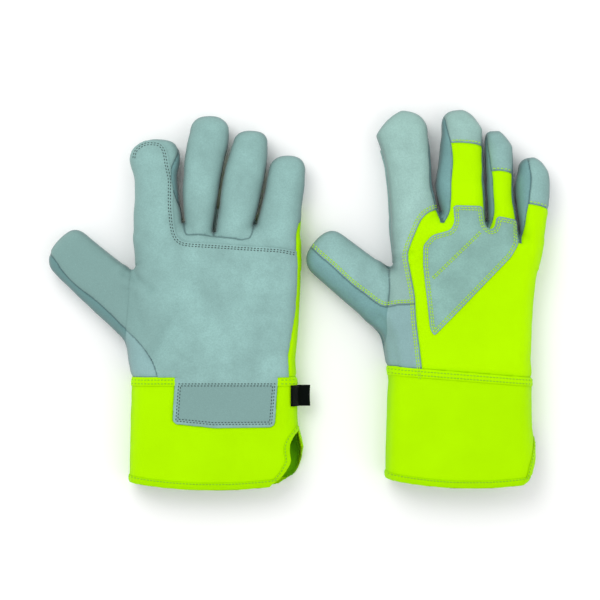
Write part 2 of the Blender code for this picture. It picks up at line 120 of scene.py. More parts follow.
# Side strips between fingers: (y, how far the strip shows in from the finger's outline on the back).
NO_STRIP = None
HIDDEN = ((100, 0.0), (200, 0.0))    # a strip that doesn't show on the palm side

LEFT_DIGITS = (
    Digit("index", ((84, -56.8, -21.5), (106, -58.6, -22.9), (119, -58.6, -24.1), (132, -57.9, -26.6),
          (146, -58.4, -27.4), (160, -61.6, -25.6), (170, -62.6, -26)), 174.6, 0.85, (1.9, 3.2),
          NO_STRIP, ((106, 0), (116, 2.5), (140, 4), (160, 4.5), (172, 1)),
          ((126, 0), (138, 2.6), (152, 4.2), (164, 0.5)), None),
    Digit("middle", ((84, -20.5, -1.2), (105, -21.2, -1.2), (126, -23.2, 2), (142, -23.2, 4.4),
          (158, -22.2, 7.4), (170, -20.4, 10.2), (180, -18, 11.2)), 191.7, 0.85, (2.4, 2.4),
          ((104, 0), (114, 4), (140, 8), (170, 5), (187, 1)),
          ((100, 0), (112, 2.5), (160, 2.5), (182, 0)), HIDDEN, 167),
    Digit("ring", ((84, 0.8, 27.5), (105, 1, 28.2), (126, 3.9, 33.2), (145, 6.5, 37), (162, 10.6, 39.6),
          (172, 14, 39.8)), 180.8, 0.85, (2.2, 2.6),
          ((100, 0), (110, 3), (140, 3.5), (160, 2), (176, 0)),
          ((104, 0), (114, 2.5), (150, 2.5), (172, 0)), HIDDEN, 151),
    Digit("little", ((80, 29.4, 62.8), (104, 30, 63.5), (112, 31.6, 64.2), (126, 35.2, 65.2),
          (140, 38.2, 67), (152, 40.4, 67.8)), 162.8, 0.95, (2.2, 2.4),
          ((104, 0), (116, 5), (140, 9), (160, 5)), NO_STRIP, HIDDEN, 126),
)
RIGHT_DIGITS = (
    Digit("index", ((84, -48.2, -14.4), (105, -50.4, -14.6), (118, -51.4, -15.3), (128, -52, -17.8),
          (138, -52.8, -20), (150, -54.4, -20.8), (162, -57, -21.6), (176, -61.9, -23.2)),
          194.3, 1, (1.35, 2.3),
          NO_STRIP, ((110, 0), (120, 1), (160, 0.8), (180, 0)), HIDDEN, None),
    Digit("middle", ((86, -12.8, 19.4), (112, -13.1, 19.4), (118, -13.6, 19.2), (127, -15.9, 18.8),
          (138, -17.8, 18.2), (156, -15.5, 17.6), (177, -13.4, 16.9)), 194.6, 1, (3, 1.35),
          ((110, 0), (118.5, 4.8), (133, 10), (153, 10), (170, 6.5), (179, 3.4), (189, 1.5)),
          ((108, 0), (118, 0.7), (160, 0.7), (180, 0)), HIDDEN, 169.6),
    Digit("ring", ((84, 21.2, 42.8), (108, 21.1, 42.2), (118, 21, 41.6), (128, 20.6, 40.2),
          (145, 19.7, 39.4), (162, 19, 39.8), (170, 18.8, 38.7)), 179.2, 1.3, (5, 1.3),
          ((106, 0), (114, 2.4), (137, 3.2), (152, 2.6), (170, 0.6)),
          ((100, 0), (112, 0.7), (150, 0.7), (168, 0)), HIDDEN, 149),
    Digit("little", ((78, 44.6, 57.4), (90, 44.6, 60.6), (102, 44.7, 62.8), (112, 43.9, 64.2),
          (126, 42, 66), (138, 41.1, 66.8), (150, 43.6, 65.4)), 159.5, 1, (2.5, 1.4),
          ((101, 0), (108, 2.2), (116, 4.3), (127, 8.2), (143, 9.8), (150, 7.2), (158, 6.4)),
          NO_STRIP, HIDDEN, 124),
)

# Thumb: middle of its root, how far it leans over, half widths either side of its axis, length.
Thumb = namedtuple("Thumb", "root lean below above length")
LEFT_THUMB = Thumb((-62.9, 50), 47.5, ((-30, 19), (28, 19.5), (56, 18.6), (72, 18)),
                   ((-30, 24), (8, 22), (28, 20.2), (56, 18.4), (72, 18)), 72.3)
RIGHT_THUMB = Thumb((-53.9, 48.1), 49.5, ((-30, 17), (28, 16.8), (56, 16.4), (72, 15.6)),
                    ((-30, 25), (8, 24), (30, 22), (54, 20.4), (72, 19)), 72.5)

BACK_SEAM = ((-125, 101), (-110.6, 93.4), (-105.7, 87.9), (-93.5, 78.1), (-81.2, 65.8), (-68.9, 57.2),
             (-63.9, 52.6), (-55, 47.7), (-49.2, 50.7), (-20, 50.7))
PALM_SEAM = ((-127, 95), (-116.9, 85.8), (-111.4, 75.6), (-100.7, 64.9), (-90, 57.5), (-76.4, 45.6),
             (-57.6, 27.9), (-52, 22.2), (-46.9, 14.3), (-42.9, 6.9), (-40, -4))
BORDER = ((-14, 121), (-18.6, 120.4), (-25, 117.6), (-29.7, 112.7), (-33.4, 103.8), (-39.2, 89.6),
          (-39.4, 84.4), (-37, 73.3), (-33.4, 54.8), (-33.7, 43.7), (-30.1, 15.5), (-28, -4))
SET_IN = ((-22.8, 118), (-21.6, 107.6), (-20, 104), (-3.5, 103.3), (20.6, 100.2), (26.6, 101.4),
          (28.6, 106), (31, 118))
PATCH = ((-5.4, 123.5), (15.8, 122.8), (16.9, 111.2), (19.5, 106.2), (23.1, 105.1), (25.5, 107.5),
         (26.8, 115.5), (42.1, 112.4), (42.1, 95.2), (36.6, 85.5), (-20, 27.2), (-22.8, 33),
         (-25.2, 56), (-27.9, 79.3), (-27.8, 94), (-21.1, 101.4), (-7.5, 105.1), (-4.5, 111.2))
PATCH_LINE = ((14.4, 103.8), (-21.1, 69.6))
# The second layer of the palm. Only its top edge shows, from the index finger's outer side to the far side.
OVERLAY_EDGE = ((-67, 118), (-67, 158), (-65, 163.2), (-59.6, 167.2), (-51.2, 173),
                (-38.8, 172.4), (-34.2, 166.4), (-32.2, 153), (-30.3, 146), (-30.3, 125), (-29, 111.2),
                (-27.6, 103.8), (-23.8, 99), (-17.6, 98.1), (4.4, 96.7), (25.4, 95.3), (49, 93.9),
                (60.5, 91.6), (80, 90))
OVERLAY = ((80, -10), (-90, -10), (-90, 95)) + OVERLAY_EDGE
TIP_ROW_START = (-61, 160)   # where the rows round the index fingertip start

LEFT = Glove(
    "left", True, (-40.9, 103),
    ((-93, -63, 63.6), (-80, -62.9, 64), (-73, -62.8, 66), (-58, -62.5, 66.2), (-36, -61.9, 62.2),
     (-16, -61.3, 61.6), (0, -61, 61), (11, -63, 60.2), (22, -64, 61.2), (40, -63.6, 62.6),
     (60, -61.6, 63.6), (78, -57.4, 64.2), (92, -57.2, 64), (103, -58.2, 63.6)),
    ((-59, 104), (-22.4, 111.7), (0, 105.1), (29.6, 110.3), (63, 101)), (112.5, 0),
    LEFT_DIGITS, LEFT_THUMB, ((-64.4, 22.2), (-61.4, 77.7)),
    (0, -84.4, 5.2), (-1.2, 0),
    ((-2, 6), (29, 4.9), (45, 3.4), (60, 2.7), (95, 2.6), (104, 2.2), (112.5, 0)),
    {"cuff": (14, 13), "hand": (15, 13.6), "digit": (12.45, 12.85)},
    ((-30.2, -35.4), (0, -38.4), (44.9, -37.9), (47.8, -3.6), (-27.7, -3.6)),
    ((-85, 40, 46), (-80, 43, 49), (-77, 47.5, 54), (-74, 50.5, 58.8), (-68, 54.6, 62.8),
     (-63, 57, 64.6), (-57, 56.2, 65.6), (-51, 56.4, 66.6), (-46, 58.6, 67), (-41, 62.6, 67),
     (-37, 66, 67)), 1.08)
RIGHT = Glove(
    "right", False, (-33, 116.41),
    ((-93, -55, 52), (-80, -55.1, 53.2), (-72, -55, 55), (-55, -54.8, 55.3), (-36, -54.2, 53.4),
     (-17, -53.6, 53.2), (0, -52.8, 53), (11, -54.6, 52.6), (18, -55.6, 52.9), (38, -55.6, 53.6),
     (58, -53, 55), (78, -48.8, 58), (90, -48.6, 60.4), (103, -50, 63)),
    ((-52, 112), (-13.9, 117.3), (21.3, 110.2), (44, 102), (63, 98)), (125.5, -0.14),
    RIGHT_DIGITS, RIGHT_THUMB, ((-55.9, 17.8), (-51.8, 78.4)),
    (8, -84.4, 6.2), (1, -0.08), ((-2, 4), (60, 3), (96, 2.6), (112, 0)),
    {"cuff": (12, 18), "hand": (13.6, 18), "digit": (14.45, 13.45)},
    ((-25.2, -35.6), (0, -38), (40.2, -37.6), (42.6, -3.6), (-23, -3.6)),
    ((-86, 36, 32), (-83, 43, 36), (-80, 49, 39), (-76, 52.2, 41.5), (-70, 54, 44),
     (-63, 56, 46), (-55, 58, 45.6), (-48, 59, 47.6), (-42, 60, 52), (-37, 60, 58)), 1)


# ---- curves and distances

def curve(knots, at, column=1):
    """Smooth curve through knots of (position, value, ...), level beyond its ends."""
    x = np.array([k[0] for k in knots], float)
    v = np.array([k[column] for k in knots], float)
    slope = np.gradient(v, x) if len(x) > 2 else np.full(len(x), (v[-1] - v[0]) / (x[-1] - x[0]))
    i = np.clip(np.searchsorted(x, at) - 1, 0, len(x) - 2)
    gap = x[i + 1] - x[i]
    t = np.clip((at - x[i]) / gap, 0.0, 1.0)
    a = v[i] * (2 * t ** 3 - 3 * t ** 2 + 1) + slope[i] * gap * (t ** 3 - 2 * t ** 2 + t)
    return a + v[i + 1] * (3 * t ** 2 - 2 * t ** 3) + slope[i + 1] * gap * (t ** 3 - t ** 2)


def step(low, high, at):
    t = np.clip((at - low) / (high - low), 0.0, 1.0)
    return t * t * (3 - 2 * t)


def larger(a, b, soft):
    """The larger of two distances, rounded where they are nearly equal."""
    near = np.maximum(soft - np.abs(a - b), 0.0) / soft
    return np.maximum(a, b) + near * near * soft / 4


def line_distance(points, x, y, closed=False):
    """Signed distance to a line of points: positive to the left of its direction, or inside it if closed."""
    pts = [np.array(p, float) for p in points]
    if closed:
        pts.append(pts[0])
    best = np.full(np.shape(x), 1e9)
    sign = np.ones(np.shape(x))
    inside = np.zeros(np.shape(x), bool)
    for a, b in zip(pts, pts[1:]):
        dx, dy = b - a
        t = np.clip(((x - a[0]) * dx + (y - a[1]) * dy) / (dx * dx + dy * dy), 0.0, 1.0)
        away = np.hypot(x - a[0] - t * dx, y - a[1] - t * dy)
        side = np.where(dx * (y - a[1]) - dy * (x - a[0]) >= 0, 1.0, -1.0)
        if closed:
            crosses = (a[1] > y) != (b[1] > y)
            inside ^= crosses & (x < a[0] + (y - a[1]) * dx / (dy if dy else 1e-9))
        nearer = away < best - 1e-9
        best = np.where(nearer, away, best)
        sign = np.where(nearer, side, sign)
    if closed:
        return np.where(inside, best, -best)
    return best * sign


def smoothed(points, reach=30.0, closed=False):
    """The same line with each corner turned into a short curve that starts within reach of it."""
    pts = [np.array(p, float) for p in points]
    count = len(pts)
    new = [] if closed else [pts[0]]
    for i in range(count) if closed else range(1, count - 1):
        corner = pts[i]
        sides = [pts[i - 1] - corner, pts[(i + 1) % count] - corner]
        start, end = (corner + side * min(0.5, reach / np.hypot(*side)) for side in sides)
        for t in (0.1, 0.5, 0.9):
            new.append(start * (1 - t) ** 2 + corner * 2 * t * (1 - t) + end * t * t)
    if not closed:
        new.append(pts[-1])
    return [tuple(p) for p in new]


def offset_line(points, out, closed=False):
    """The line moved sideways by out, to the left of its direction."""
    pts = [np.array(p, float) for p in points]
    count = len(pts)
    moved = []
    for i, p in enumerate(pts):
        first = p - pts[i - 1] if closed or i > 0 else pts[1] - p
        second = pts[(i + 1) % count] - p if closed or i < count - 1 else first
        first = first / np.hypot(*first)
        turn = first + second / np.hypot(*second)
        turn /= np.hypot(*turn)
        reach = out / max(0.4, float(first @ turn))
        moved.append(tuple(p + np.array((-turn[1], turn[0])) * reach))
    return moved


def fitted(glove, points, drawn_for=RIGHT):
    """A line drawn for one glove's hand, fitted to this glove's width."""
    share = glove.stretch / drawn_for.stretch
    return [(x * share, y) for x, y in points]


# ---- the glove's plan and skin

def digit_edges(digit, y):
    return curve(digit.edges, y, 1), curve(digit.edges, y, 2)


def within_tip(across, half, along, start, tip, power):
    """How far a point is inside a strip of that half width, which is rounded off between start and tip."""
    past = np.clip((along - start) / (tip - start), 0.0, None)
    return half * (1 - ((np.abs(across) / half) ** power + past ** power) ** (1 / power))


def digit_distance(digit, x, y):
    """How far a point is inside a finger's outline."""
    left, right = digit_edges(digit, y)
    middle, half = (left + right) / 2, (right - left) / 2
    tip_half = (digit.edges[-1][2] - digit.edges[-1][1]) / 2
    power = np.where(x < middle, *digit.powers)
    inside = within_tip(x - middle, half, y, digit.tip - digit.blunt * tip_half, digit.tip, power)
    return np.minimum(inside, 2 * (y - digit.edges[0][0]) + 3.0)


def thumb_frame(thumb, x, y):
    """Distance along the thumb from its root, and across it, upwards positive."""
    lean = math.radians(thumb.lean)
    dx, dy = x - thumb.root[0], y - thumb.root[1]
    return -dx * math.sin(lean) + dy * math.cos(lean), dx * math.cos(lean) + dy * math.sin(lean)


def thumb_distance(thumb, x, y):
    t, q = thumb_frame(thumb, x, y)
    half = np.where(q < 0, curve(thumb.below, t), curve(thumb.above, t))
    inside = within_tip(q, half, t, thumb.length - 14.0, thumb.length, np.where(q < 0, 2.2, 3.0))
    return np.minimum(inside, t + 34.0)


def tube_distance(glove, x, y):
    """How far a point is inside the hand and cuff, which end at the crotches between the fingers."""
    left = x - curve(glove.sides, y, 1)
    right = curve(glove.sides, y, 2) - x
    top = curve(glove.crotches, x) - y
    return -larger(-left, larger(-right, -top, 5.0), 5.0)


def plan(glove, x, y):
    """Distance inside the whole outline, and the number of the nearest finger."""
    fingers = np.stack([digit_distance(d, x, y) for d in glove.digits])
    nearest = fingers.argmax(0)
    inside = larger(tube_distance(glove, x, y), fingers.max(0), 4.0)
    inside = larger(inside, thumb_distance(glove.thumb, x, y), 6.0)
    return inside, nearest


def split_line(glove, x):
    """y above which the skin belongs to the fingers."""
    height, slope = glove.split
    return height + slope * (x + 51.6)


def mouth_line(glove, x):
    middle, low, bow = glove.mouth
    return low + bow * ((x - middle) / 60.0) ** 2


def wrist_line(glove, x):
    return glove.wrist[0] + glove.wrist[1] * x


def wrap_line(glove, y):
    """x beyond which the fabric of the back shows on the palm side."""
    return curve(glove.sides, y, 2) - curve(glove.wrap, y)


def cap_line(digit, x):
    """y above which a finger's back is leather."""
    left, right = digit.edges[-2][1:]
    share = (x - (left + right) / 2) / ((right - left) / 2)
    slant = 2.0 if digit.name == "little" else 0.6
    return digit.cap - slant * share - 1.6 * share * share


def thumb_side(glove, x, y):
    """Distance from the thumb's root line, positive on the thumb. Above the line's top end it leans over,
    between the thumb and the index finger."""
    (ax, ay), (bx, by) = glove.hinge
    length = math.hypot(bx - ax, by - ay)
    side = ((bx - ax) * (y - ay) - (by - ay) * (x - ax)) / length
    return np.minimum(side, -0.91 * (x - bx) - 0.41 * (y - by))


def on_thumb(glove, x, y):
    return (thumb_side(glove, x, y) > 0) & (y > 8.0)


def full_heights(glove, x, y):
    """Height of the skin above and below the middle plane, away from its edges."""
    fingers = step(-16.0, 16.0, y - split_line(glove, x) + 6.0)
    thumb = step(-12.0, 16.0, thumb_side(glove, x, y)) * step(0.0, 30.0, y)
    fingers = np.maximum(fingers, thumb)
    hand = step(-12.0, 12.0, y - wrist_line(glove, x))
    heights = []
    for k in (0, 1):
        cuff, palm, digit = (glove.heights[n][k] for n in ("cuff", "hand", "digit"))
        level = cuff + (palm - cuff) * hand
        heights.append(level + (digit - level) * fingers)
    return heights if glove.palm_up else heights[::-1]


def field(glove, x, y, z):
    """Positive inside the glove, 0 on its skin."""
    inside, _ = plan(glove, x, y)
    above, below = full_heights(glove, x, y)
    return field_at(inside, above, below, z)


def field_at(inside, above, below, z):
    u = np.clip(1 - inside / EDGE_ROUND, 0.0, None)
    power = np.where(z >= 0, TOP_POWER, UNDER_POWER)
    w = np.abs(z) / np.where(z >= 0, above, below)
    return 1 - (u ** power + w ** power) ** (1 / power)


def surface_net(values, origin, size):
    """Points and quads of the zero surface of values on a grid: one point in each cell that it crosses."""
    shape = np.array(values.shape)
    total = np.zeros((*(shape - 1), 3))
    count = np.zeros(shape - 1)
    crossings = []
    for axis in range(3):
        low = [slice(None)] * 3
        high = [slice(None)] * 3
        low[axis], high[axis] = slice(None, -1), slice(1, None)
        a, b = values[tuple(low)], values[tuple(high)]
        cross = (a > 0) != (b > 0)
        start = np.argwhere(cross)
        where = start.astype(float)
        where[:, axis] += (a / (a - b + 1e-30))[cross]
        others = [k for k in range(3) if k != axis]
        ring = []
        for da, db in ((0, 0), (-1, 0), (-1, -1), (0, -1)):
            cell = start.copy()
            cell[:, others[0]] += da
            cell[:, others[1]] += db
            ring.append(cell)
            np.add.at(total, tuple(cell.T), where)
            np.add.at(count, tuple(cell.T), 1)
        crossings.append((ring, (a > 0)[cross], axis))
    cells = np.argwhere(count > 0)
    number = np.full(count.shape, -1)
    number[tuple(cells.T)] = np.arange(len(cells))
    points = total[tuple(cells.T)] / count[tuple(cells.T)][:, None] * size + origin
    quads = []
    for ring, leaving, axis in crossings:
        quad = np.stack([number[tuple(cell.T)] for cell in ring], 1)
        flip = leaving == (axis == 1)
        quad[flip] = quad[flip][:, ::-1]
        quads.append(quad)
    return points, np.concatenate(quads)


def make_skin(glove):
    """The glove's whole skin as points and quads."""
    axes = [np.arange(lo, hi, GRID) for lo, hi in zip(LOW, HIGH)]
    x, y = np.meshgrid(axes[0], axes[1], indexing="ij")
    inside, _ = plan(glove, x, y)
    above, below = full_heights(glove, x, y)
    values = field_at(inside[..., None], above[..., None], below[..., None], axes[2][None, None, :])
    values[:, 0, :] = -1.0
    points, quads = surface_net(values, np.array(LOW), GRID)
    for _ in range(3):
        f = field(glove, *points.T)
        slope = np.stack([(field(glove, *(points + d).T) - f) / 0.05 for d in np.eye(3) * 0.05], 1)
        move = f[:, None] * slope / np.maximum((slope ** 2).sum(1), 1e-5)[:, None]
        length = np.linalg.norm(move, axis=1)[:, None]
        points = points - move * np.minimum(1.0, 0.6 / np.maximum(length, 1e-9))
    return points, quads


# ---- cutting the skin along its seams

def sides_of(faces):
    """The sides of all faces, as pairs of point numbers. A triangle's last corner is there twice."""
    pairs = np.concatenate([faces[:, [k, (k + 1) % 4]] for k in range(4)])
    return pairs[pairs[:, 0] != pairs[:, 1]]


def face_normals(points, faces):
    return np.cross(points[faces[:, 2]] - points[faces[:, 0]], points[faces[:, 3]] - points[faces[:, 1]])


def point_normals(points, faces):
    flat = face_normals(points, faces)
    total = np.zeros_like(points)
    for k in range(4):
        np.add.at(total, faces[:, k], flat)
    return total / np.maximum(np.linalg.norm(total, axis=1), 1e-9)[:, None]


def where(condition, value):
    return np.where(condition, value, np.nan)


class Places:
    """Points of a glove, and how far each lies beyond the glove's lines: towards the fingertips from the
    wrist, mouth and split lines, outwards from the slit, and to the left of a seam."""

    def __init__(self, glove, points):
        self.glove = glove
        self.x, self.y, self.z = points.T
        self.palm = self.z if glove.palm_up else -self.z
        self.wrist = self.y - wrist_line(glove, self.x)
        self.mouth = self.y - mouth_line(glove, self.x)
        self.split = self.y - split_line(glove, self.x)
        self.on_thumb = on_thumb(glove, self.x, self.y)
        self.on_finger = (self.split > 0) & ~self.on_thumb
        self.by_slit = (self.x > FAR_SIDE) & (self.y < VENT_TOP)
        self.by_wrap = (self.x > FAR_SIDE) & (self.y < glove.wrap[-1][0])

    def beyond(self, line, closed=False):
        return line_distance(line, self.x, self.y, closed)

    @cached_property
    def plan(self):
        return plan(self.glove, self.x, self.y)

    @cached_property
    def slit(self):
        return self.x - np.where(self.z > 0, *(curve(self.glove.vent, self.y, side) for side in (1, 2)))

    @cached_property
    def palm_seam(self):
        return self.beyond(smoothed(fitted(self.glove, PALM_SEAM, LEFT)))

    @cached_property
    def back_seam(self):
        return self.beyond(smoothed(fitted(self.glove, BACK_SEAM)))

    @cached_property
    def border(self):
        return self.beyond(smoothed(fitted(self.glove, BORDER)))

    @cached_property
    def set_in(self):
        return self.beyond(fitted(self.glove, SET_IN, LEFT))

    def nearest(self, number):
        return self.plan[1] == number

    def in_finger(self, number):
        """On that finger, from the crotches up."""
        above = self.y > curve(self.glove.crotches, self.x) - 6.0
        return self.nearest(number) & above & ~self.on_thumb

    def strip(self, number, side):
        """Distance from the edge of a finger's side strip, positive on it. Not a number off the finger."""
        digit = self.glove.digits[number]
        left, right = digit_edges(digit, self.y)
        own_side = (self.x < (left + right) / 2) == (side == 0)
        inset = self.x - left if side == 0 else right - self.x
        back = curve((digit.near, digit.far)[side], self.y)
        palm = curve((HIDDEN, digit.palm_far)[side], self.y)
        on_palm = np.where(palm > 0.01, palm - inset, -1.0)
        return where(self.in_finger(number) & own_side, np.where(self.palm > 0, on_palm, back - inset))


class Skin:
    """A glove's skin, and the outer surfaces of all that is laid on it."""

    def __init__(self, glove):
        self.glove = glove
        self.points, self.faces = make_skin(glove)
        self.locks = np.zeros(len(self.points), np.int64)
        self.bit = 1
        self.surfaces = []

    def corners(self):
        return Places(self.glove, self.points)

    def centres(self):
        return Places(self.glove, self.points[self.faces].mean(1))

    def cut(self, distance):
        """Moves the points nearest a seam onto it, so that it runs along edges. The distance is 0 on the seam
        and not a number where the seam isn't."""
        g = distance(self.corners())
        g[np.abs(g) < 1e-6] = 0.0
        a, b = np.unique(np.sort(sides_of(self.faces), 1), axis=0).T
        with np.errstate(invalid="ignore"):
            crossing = g[a] * g[b] < 0
        a, b = a[crossing], b[crossing]
        t = g[a] / (g[a] - g[b])
        a_free = (self.locks[a] & ~self.locks[b]) == 0
        b_free = (self.locks[b] & ~self.locks[a]) == 0
        choose_a = np.where(a_free == b_free, t < 0.5, a_free)
        moving = np.where(choose_a, a, b)
        spot = self.points[a] * (1 - t)[:, None] + self.points[b] * t[:, None]
        order = np.argsort(-np.where(choose_a, t, 1 - t))
        moving = moving[order]
        self.points[moving] = spot[order]
        g[moving] = 0.0
        self.locks[g == 0] |= self.bit
        self.bit <<= 1
        self.split_quads(np.sign(np.nan_to_num(g)))

    def split_quads(self, sign):
        """Splits each quad that the seam crosses from corner to corner."""
        faces = self.faces
        corner = sign[faces]
        is_quad = faces[:, 2] != faces[:, 3]
        mixed = is_quad & (corner.max(1) > 0) & (corner.min(1) < 0)
        even = mixed & (corner[:, 0] == 0) & (corner[:, 2] == 0)
        odd = mixed & (corner[:, 1] == 0) & (corner[:, 3] == 0)
        e, o = faces[even], faces[odd]
        halves = [e[:, [0, 1, 2, 2]], e[:, [0, 2, 3, 3]], o[:, [0, 1, 3, 3]], o[:, [1, 2, 3, 3]]]
        self.faces = np.concatenate([faces[~(even | odd)]] + halves)


def strip_sides(digit):
    """A finger's sides that have a strip, 0 towards the thumb and 1 away from it, and the strips' names."""
    names = enumerate(("thumb_side_strip", "far_side_strip"))
    return [(side, name) for side, name in names if (digit.near, digit.far)[side] is not NO_STRIP]


def overlay_outlines(glove):
    """Each patch sewn on top: its outline, whether it lies on the palm side, and the pieces it covers."""
    tab = [(x, y if y < -10.0 else y + 10.0) for x, y in glove.wrist_patch]
    return {
        "palm_overlay": (smoothed(fitted(glove, OVERLAY, LEFT), 4.0, True), True,
                         ("palm_panel", "index_front")),
        "knuckle_patch": (smoothed(fitted(glove, PATCH), 2.5, True), False, None),
        "wrist_patch": (smoothed(tab, 4.0, True), True, ("cuff_front",)),
    }


def cut_seams(skin):
    """Cuts the skin along each seam in turn."""
    glove = skin.glove
    cut = skin.cut
    cut(lambda at: at.mouth)
    cut(lambda at: at.wrist)
    cut(lambda at: where(np.abs(at.z) < 3.0, at.z))
    root_top = glove.hinge[1][1] + 5.0
    cut(lambda at: where((at.y > 12.0) & (at.y < root_top), thumb_side(glove, at.x, at.y)))
    cut(lambda at: where(~at.on_thumb, at.split))
    cut(lambda at: where((at.palm >= 0) & (at.x < -36.0) & (at.wrist > -1.0), at.palm_seam))
    cut(lambda at: where((at.palm <= 0) & (at.border < 1.0), at.back_seam))
    cut(lambda at: where((at.palm < 0) & (at.wrist > -1.0) & (at.y < glove.split[0]), at.border))
    cut(lambda at: where((at.palm >= 0) & at.by_wrap & (at.wrist > -1.0), at.x - wrap_line(glove, at.y)))
    cut(lambda at: where((at.palm > 0) & (at.split < 1.0), at.set_in))
    x, y = glove.crotches[2]
    cut(lambda at: where((np.abs(at.y - y) < 14.0) & (np.abs(at.x - x) < 8.0), at.x - x))
    cut(lambda at: at.wrist + BAND)
    cut(lambda at: at.mouth - BINDING)
    cut(lambda at: where(at.by_slit, at.slit))
    cut(lambda at: where(at.by_slit & (at.mouth > 4.0), at.slit + HEM))
    for number, digit in enumerate(glove.digits):
        for side, _ in strip_sides(digit):
            cut(lambda at: at.strip(number, side))
        if digit.cap is not None:
            cut(lambda at: where(at.in_finger(number) & (at.palm <= 0), at.y - cap_line(digit, at.x)))
    for polygon, palm, _ in overlay_outlines(glove).values():
        cut(lambda at: where((at.palm > 0) == palm, at.beyond(polygon, True)))


# ---- naming the faces

def name_faces(skin):
    """The sewn piece that each face belongs to, without the glove's side."""
    glove = skin.glove
    at = skin.centres()
    palm = at.palm > 0
    back = ~palm
    below = np.where(palm, at.palm_seam, at.back_seam) <= 0
    leather = back & (at.border <= 0)
    names = np.full(len(palm), "palm_panel", dtype=object)
    names[back] = "hand_back"
    names[leather] = "side_leather"
    names[(palm | leather) & below] = "lower_side_leather"
    names[palm & at.by_wrap & (at.x > wrap_line(glove, at.y))] = "hand_back"
    names[at.on_thumb & palm] = "thumb_front"
    names[at.on_thumb & back] = "thumb_back"
    names[at.on_thumb & below] = "thumb_outer_strip"
    low_set = palm & (at.set_in > 0) & ~at.on_finger & (at.y > 95) & (np.abs(at.x) < 34)
    middle_side = at.x < glove.crotches[2][0]
    names[low_set & middle_side] = "middle_front"
    names[low_set & ~middle_side] = "ring_front"
    for number, digit in enumerate(glove.digits):
        here = at.on_finger & at.nearest(number)
        names[here & palm] = digit.name + "_front"
        names[here & back] = digit.name + "_back"
        if digit.cap is not None:
            names[here & back & (at.y > cap_line(digit, at.x))] = digit.name + "_cap"
        for side, kind in strip_sides(digit):
            names[at.strip(number, side) > 0] = digit.name + "_" + kind
    cuff = at.wrist < 0
    names[cuff & palm] = "cuff_front"
    names[cuff & back] = "cuff_back"
    names[cuff & at.by_slit & (at.slit > 0)] = "open"
    names[at.mouth < 0] = "open"
    return names


# Pieces that run on into each other without a seam, though the skin is cut between them.
SAME = {
    "index_front": "palm_panel", "little_front": "palm_panel", "thumb_front": "palm_panel",
    "index_back": "side_leather", "middle_back": "hand_back", "ring_back": "hand_back",
    "little_back": "hand_back", "thumb_outer_strip": "lower_side_leather",
}


def seam_points(skin, names):
    """Points on a seam between two different pieces. The palm runs on over the cuff as the wrist patch."""
    outline, _, covered = overlay_outlines(skin.glove)["wrist_patch"]
    under = np.isin(names.astype(str), covered) & (skin.centres().beyond(outline, True) > 0)
    family = ["palm_panel" if hidden else SAME.get(n, n) for n, hidden in zip(names, under)]
    kinds = {n: k for k, n in enumerate(sorted(set(family)))}
    number = np.array([kinds[n] for n in family])
    low = np.full(len(skin.points), len(kinds))
    high = np.full(len(skin.points), -1)
    for k in range(4):
        np.minimum.at(low, skin.faces[:, k], number)
        np.maximum.at(high, skin.faces[:, k], number)
    return (high >= 0) & (low != high)


def distance_to(points, targets):
    """Distance from each point to the nearest of targets."""
    tree = KDTree(len(targets))
    for i, p in enumerate(targets):
        tree.insert(p, i)
    tree.balance()
    return np.array([tree.find(p)[2] for p in points])


def waves(points, length, seed, count=14):
    """A smooth random height between about -1 and 1, with bumps of that length."""
    rng = np.random.default_rng(seed)
    total = np.zeros(len(points))
    for _ in range(count):
        way = rng.normal(size=3)
        way /= np.linalg.norm(way)
        pitch = length * rng.uniform(0.7, 1.5)
        total += np.sin(points @ way * (2 * math.pi / pitch) + rng.uniform(0, 6.28))
    return total / math.sqrt(count)


# Soft folds: (points of the fold's line, half width, depth, on the palm side).
FOLDS = (
    (((-58, 62), (-56, 46), (-50, 33)), 5.0, 1.9, True),
    (((-24, 46), (-34, 28), (-42, 14)), 6.0, 1.5, True),
    (((-62, 74), (-52, 70), (-44, 62)), 3.0, 1.6, True),
    (((-10, 60), (6, 40), (10, 22)), 8.0, 0.9, True),
    (((-57, 76), (-55, 62), (-55, 48)), 3.0, 1.4, False),
    (((-62, 40), (-54, 26), (-50, 6)), 4.0, 1.4, False),
    (((-49, 83), (-44, 86), (-38, 87)), 2.0, 1.2, False),
)


def groove(distance, depth, width):
    return depth * np.exp(-(distance / width) ** 2)


def shape_skin(skin, names):
    """Presses the seams in, raises the soft folds, and returns the distance of each point to a seam."""
    glove = skin.glove
    points = skin.points
    at = skin.corners()
    top = at.z > 0
    away = distance_to(points, points[seam_points(skin, names)])
    seed = 3 if glove.palm_up else 17
    push = -groove(away, SEAM_DEPTH, SEAM_WIDTH)
    push += waves(points, 34.0, seed) * 0.34 * np.where(top, 1.0, 0.25) * step(0.0, 8.0, at.plan[0])
    push += waves(points, 13.0, seed + 1) * 0.13 * np.where(top, 1.0, 0.3)
    push += waves(points * (0.4, 1.0, 1.0), 16.0, seed + 2) * 0.16 * step(0.0, 14.0, at.split)
    for line, width, depth, palm in FOLDS:
        near = at.beyond(smoothed([(x * glove.stretch / 1.04, y) for x, y in line]))
        beside = groove(np.abs(near) - 2.2 * width, 0.5 * depth, width)
        push += ((at.palm > 0) == palm) * (beside - groove(near, depth, width))
    points += point_normals(points, skin.faces) * push[:, None]
    points[:, 2] = np.maximum(points[:, 2], RISE + 0.1 - MIDDLE_HEIGHT)
    return away


# ---- materials

def linear(colour):
    return tuple((c / 12.92 if c <= 0.04045 else ((c + 0.055) / 1.055) ** 2.4)
                 for c in (v / 255 for v in colour)) + (1.0,)


